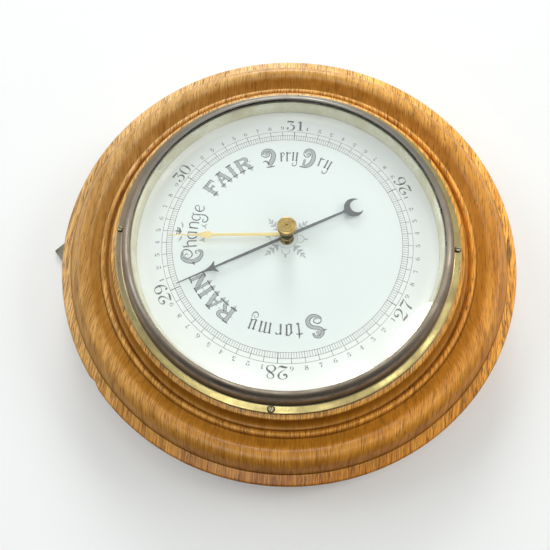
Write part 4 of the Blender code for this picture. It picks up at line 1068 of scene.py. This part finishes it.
world = bpy.data.worlds.new("world")
bpy.context.scene.world = world
world.use_nodes = True
# A bright room, darker behind the viewer (towards -X near the horizon).
nodes, links = world.node_tree.nodes, world.node_tree.links
background = nodes["Background"]
where = nodes.new("ShaderNodeTexCoord")
split = nodes.new("ShaderNodeSeparateXYZ")
links.new(where.outputs["Generated"], split.inputs[0])
lean = nodes.new("ShaderNodeMath")
lean.operation = "MULTIPLY_ADD"
links.new(split.outputs[0], lean.inputs[0])
lean.inputs[1].default_value = 0.5
lean.inputs[2].default_value = 0.5
shade = nodes.new("ShaderNodeValToRGB")
shade.color_ramp.elements[0].position = 0.16
shade.color_ramp.elements[0].color = (0.06, 0.06, 0.06, 1.0)
shade.color_ramp.elements[1].position = 0.76
shade.color_ramp.elements[1].color = (0.965, 0.975, 0.985, 1.0)
links.new(lean.outputs[0], shade.inputs[0])
eye = nodes.new("ShaderNodeLightPath")
pale = nodes.new("ShaderNodeMix")
pale.data_type = "RGBA"
links.new(eye.outputs["Is Camera Ray"], pale.inputs["Factor"])
links.new(shade.outputs[0], pale.inputs[6])
pale.inputs[7].default_value = (1.25, 1.28, 1.29, 1.0)
links.new(pale.outputs[2], background.inputs["Color"])
background.inputs["Strength"].default_value = 0.68


def area_light(name, at, aim, size, power, colour=(1.0, 1.0, 1.0), size_y=None):
    data = bpy.data.lights.new(name, "AREA")
    data.shape = "RECTANGLE" if size_y else "DISK"
    data.size = size
    if size_y:
        data.size_y = size_y
    data.energy = power
    data.color = colour
    obj = bpy.data.objects.new(name, data)
    obj.location = at
    obj.rotation_euler = (Vector(aim) - Vector(at)).to_track_quat("-Z", "Y").to_euler()
    bpy.context.scene.collection.objects.link(obj)
    return obj


# Image up is +X and image right is -Y, so the far side of the picture is at +X.
area_light("window_far", (2.14, 0.15, 1.06), (0.0, 0.0, 0.0), 1.0, 22.0, (1.0, 0.99, 0.97))
area_light("overhead", (-0.50, 0.15, 1.85), (0.0, 0.0, 0.0), 0.75, 5.5, (1.0, 0.985, 0.96))
area_light("window_left", (0.35, 1.60, 1.30), (0.0, 0.0, 0.0), 1.1, 8.0, (0.98, 0.99, 1.0))
area_light("window_right", (0.55, -1.90, 1.40), (0.0, 0.0, 0.0), 1.1, 12.0, (1.0, 0.97, 0.91))
for i, (x, y) in enumerate(((0.109, -0.305), (0.31, -0.56), (0.42, -0.66), (0.04, 0.25))):
    area_light(f"ceiling_spot_{i + 1}", (x, y, 1.95), (0.0, 0.0, 0.0), 0.26, 1.3, (1.0, 0.96, 0.86))

bpy.context.scene.view_settings.view_transform = "Standard"
bpy.context.scene.view_settings.look = "None"
bpy.context.scene.view_settings.exposure = 0.0

bpy.context.view_layer.update()
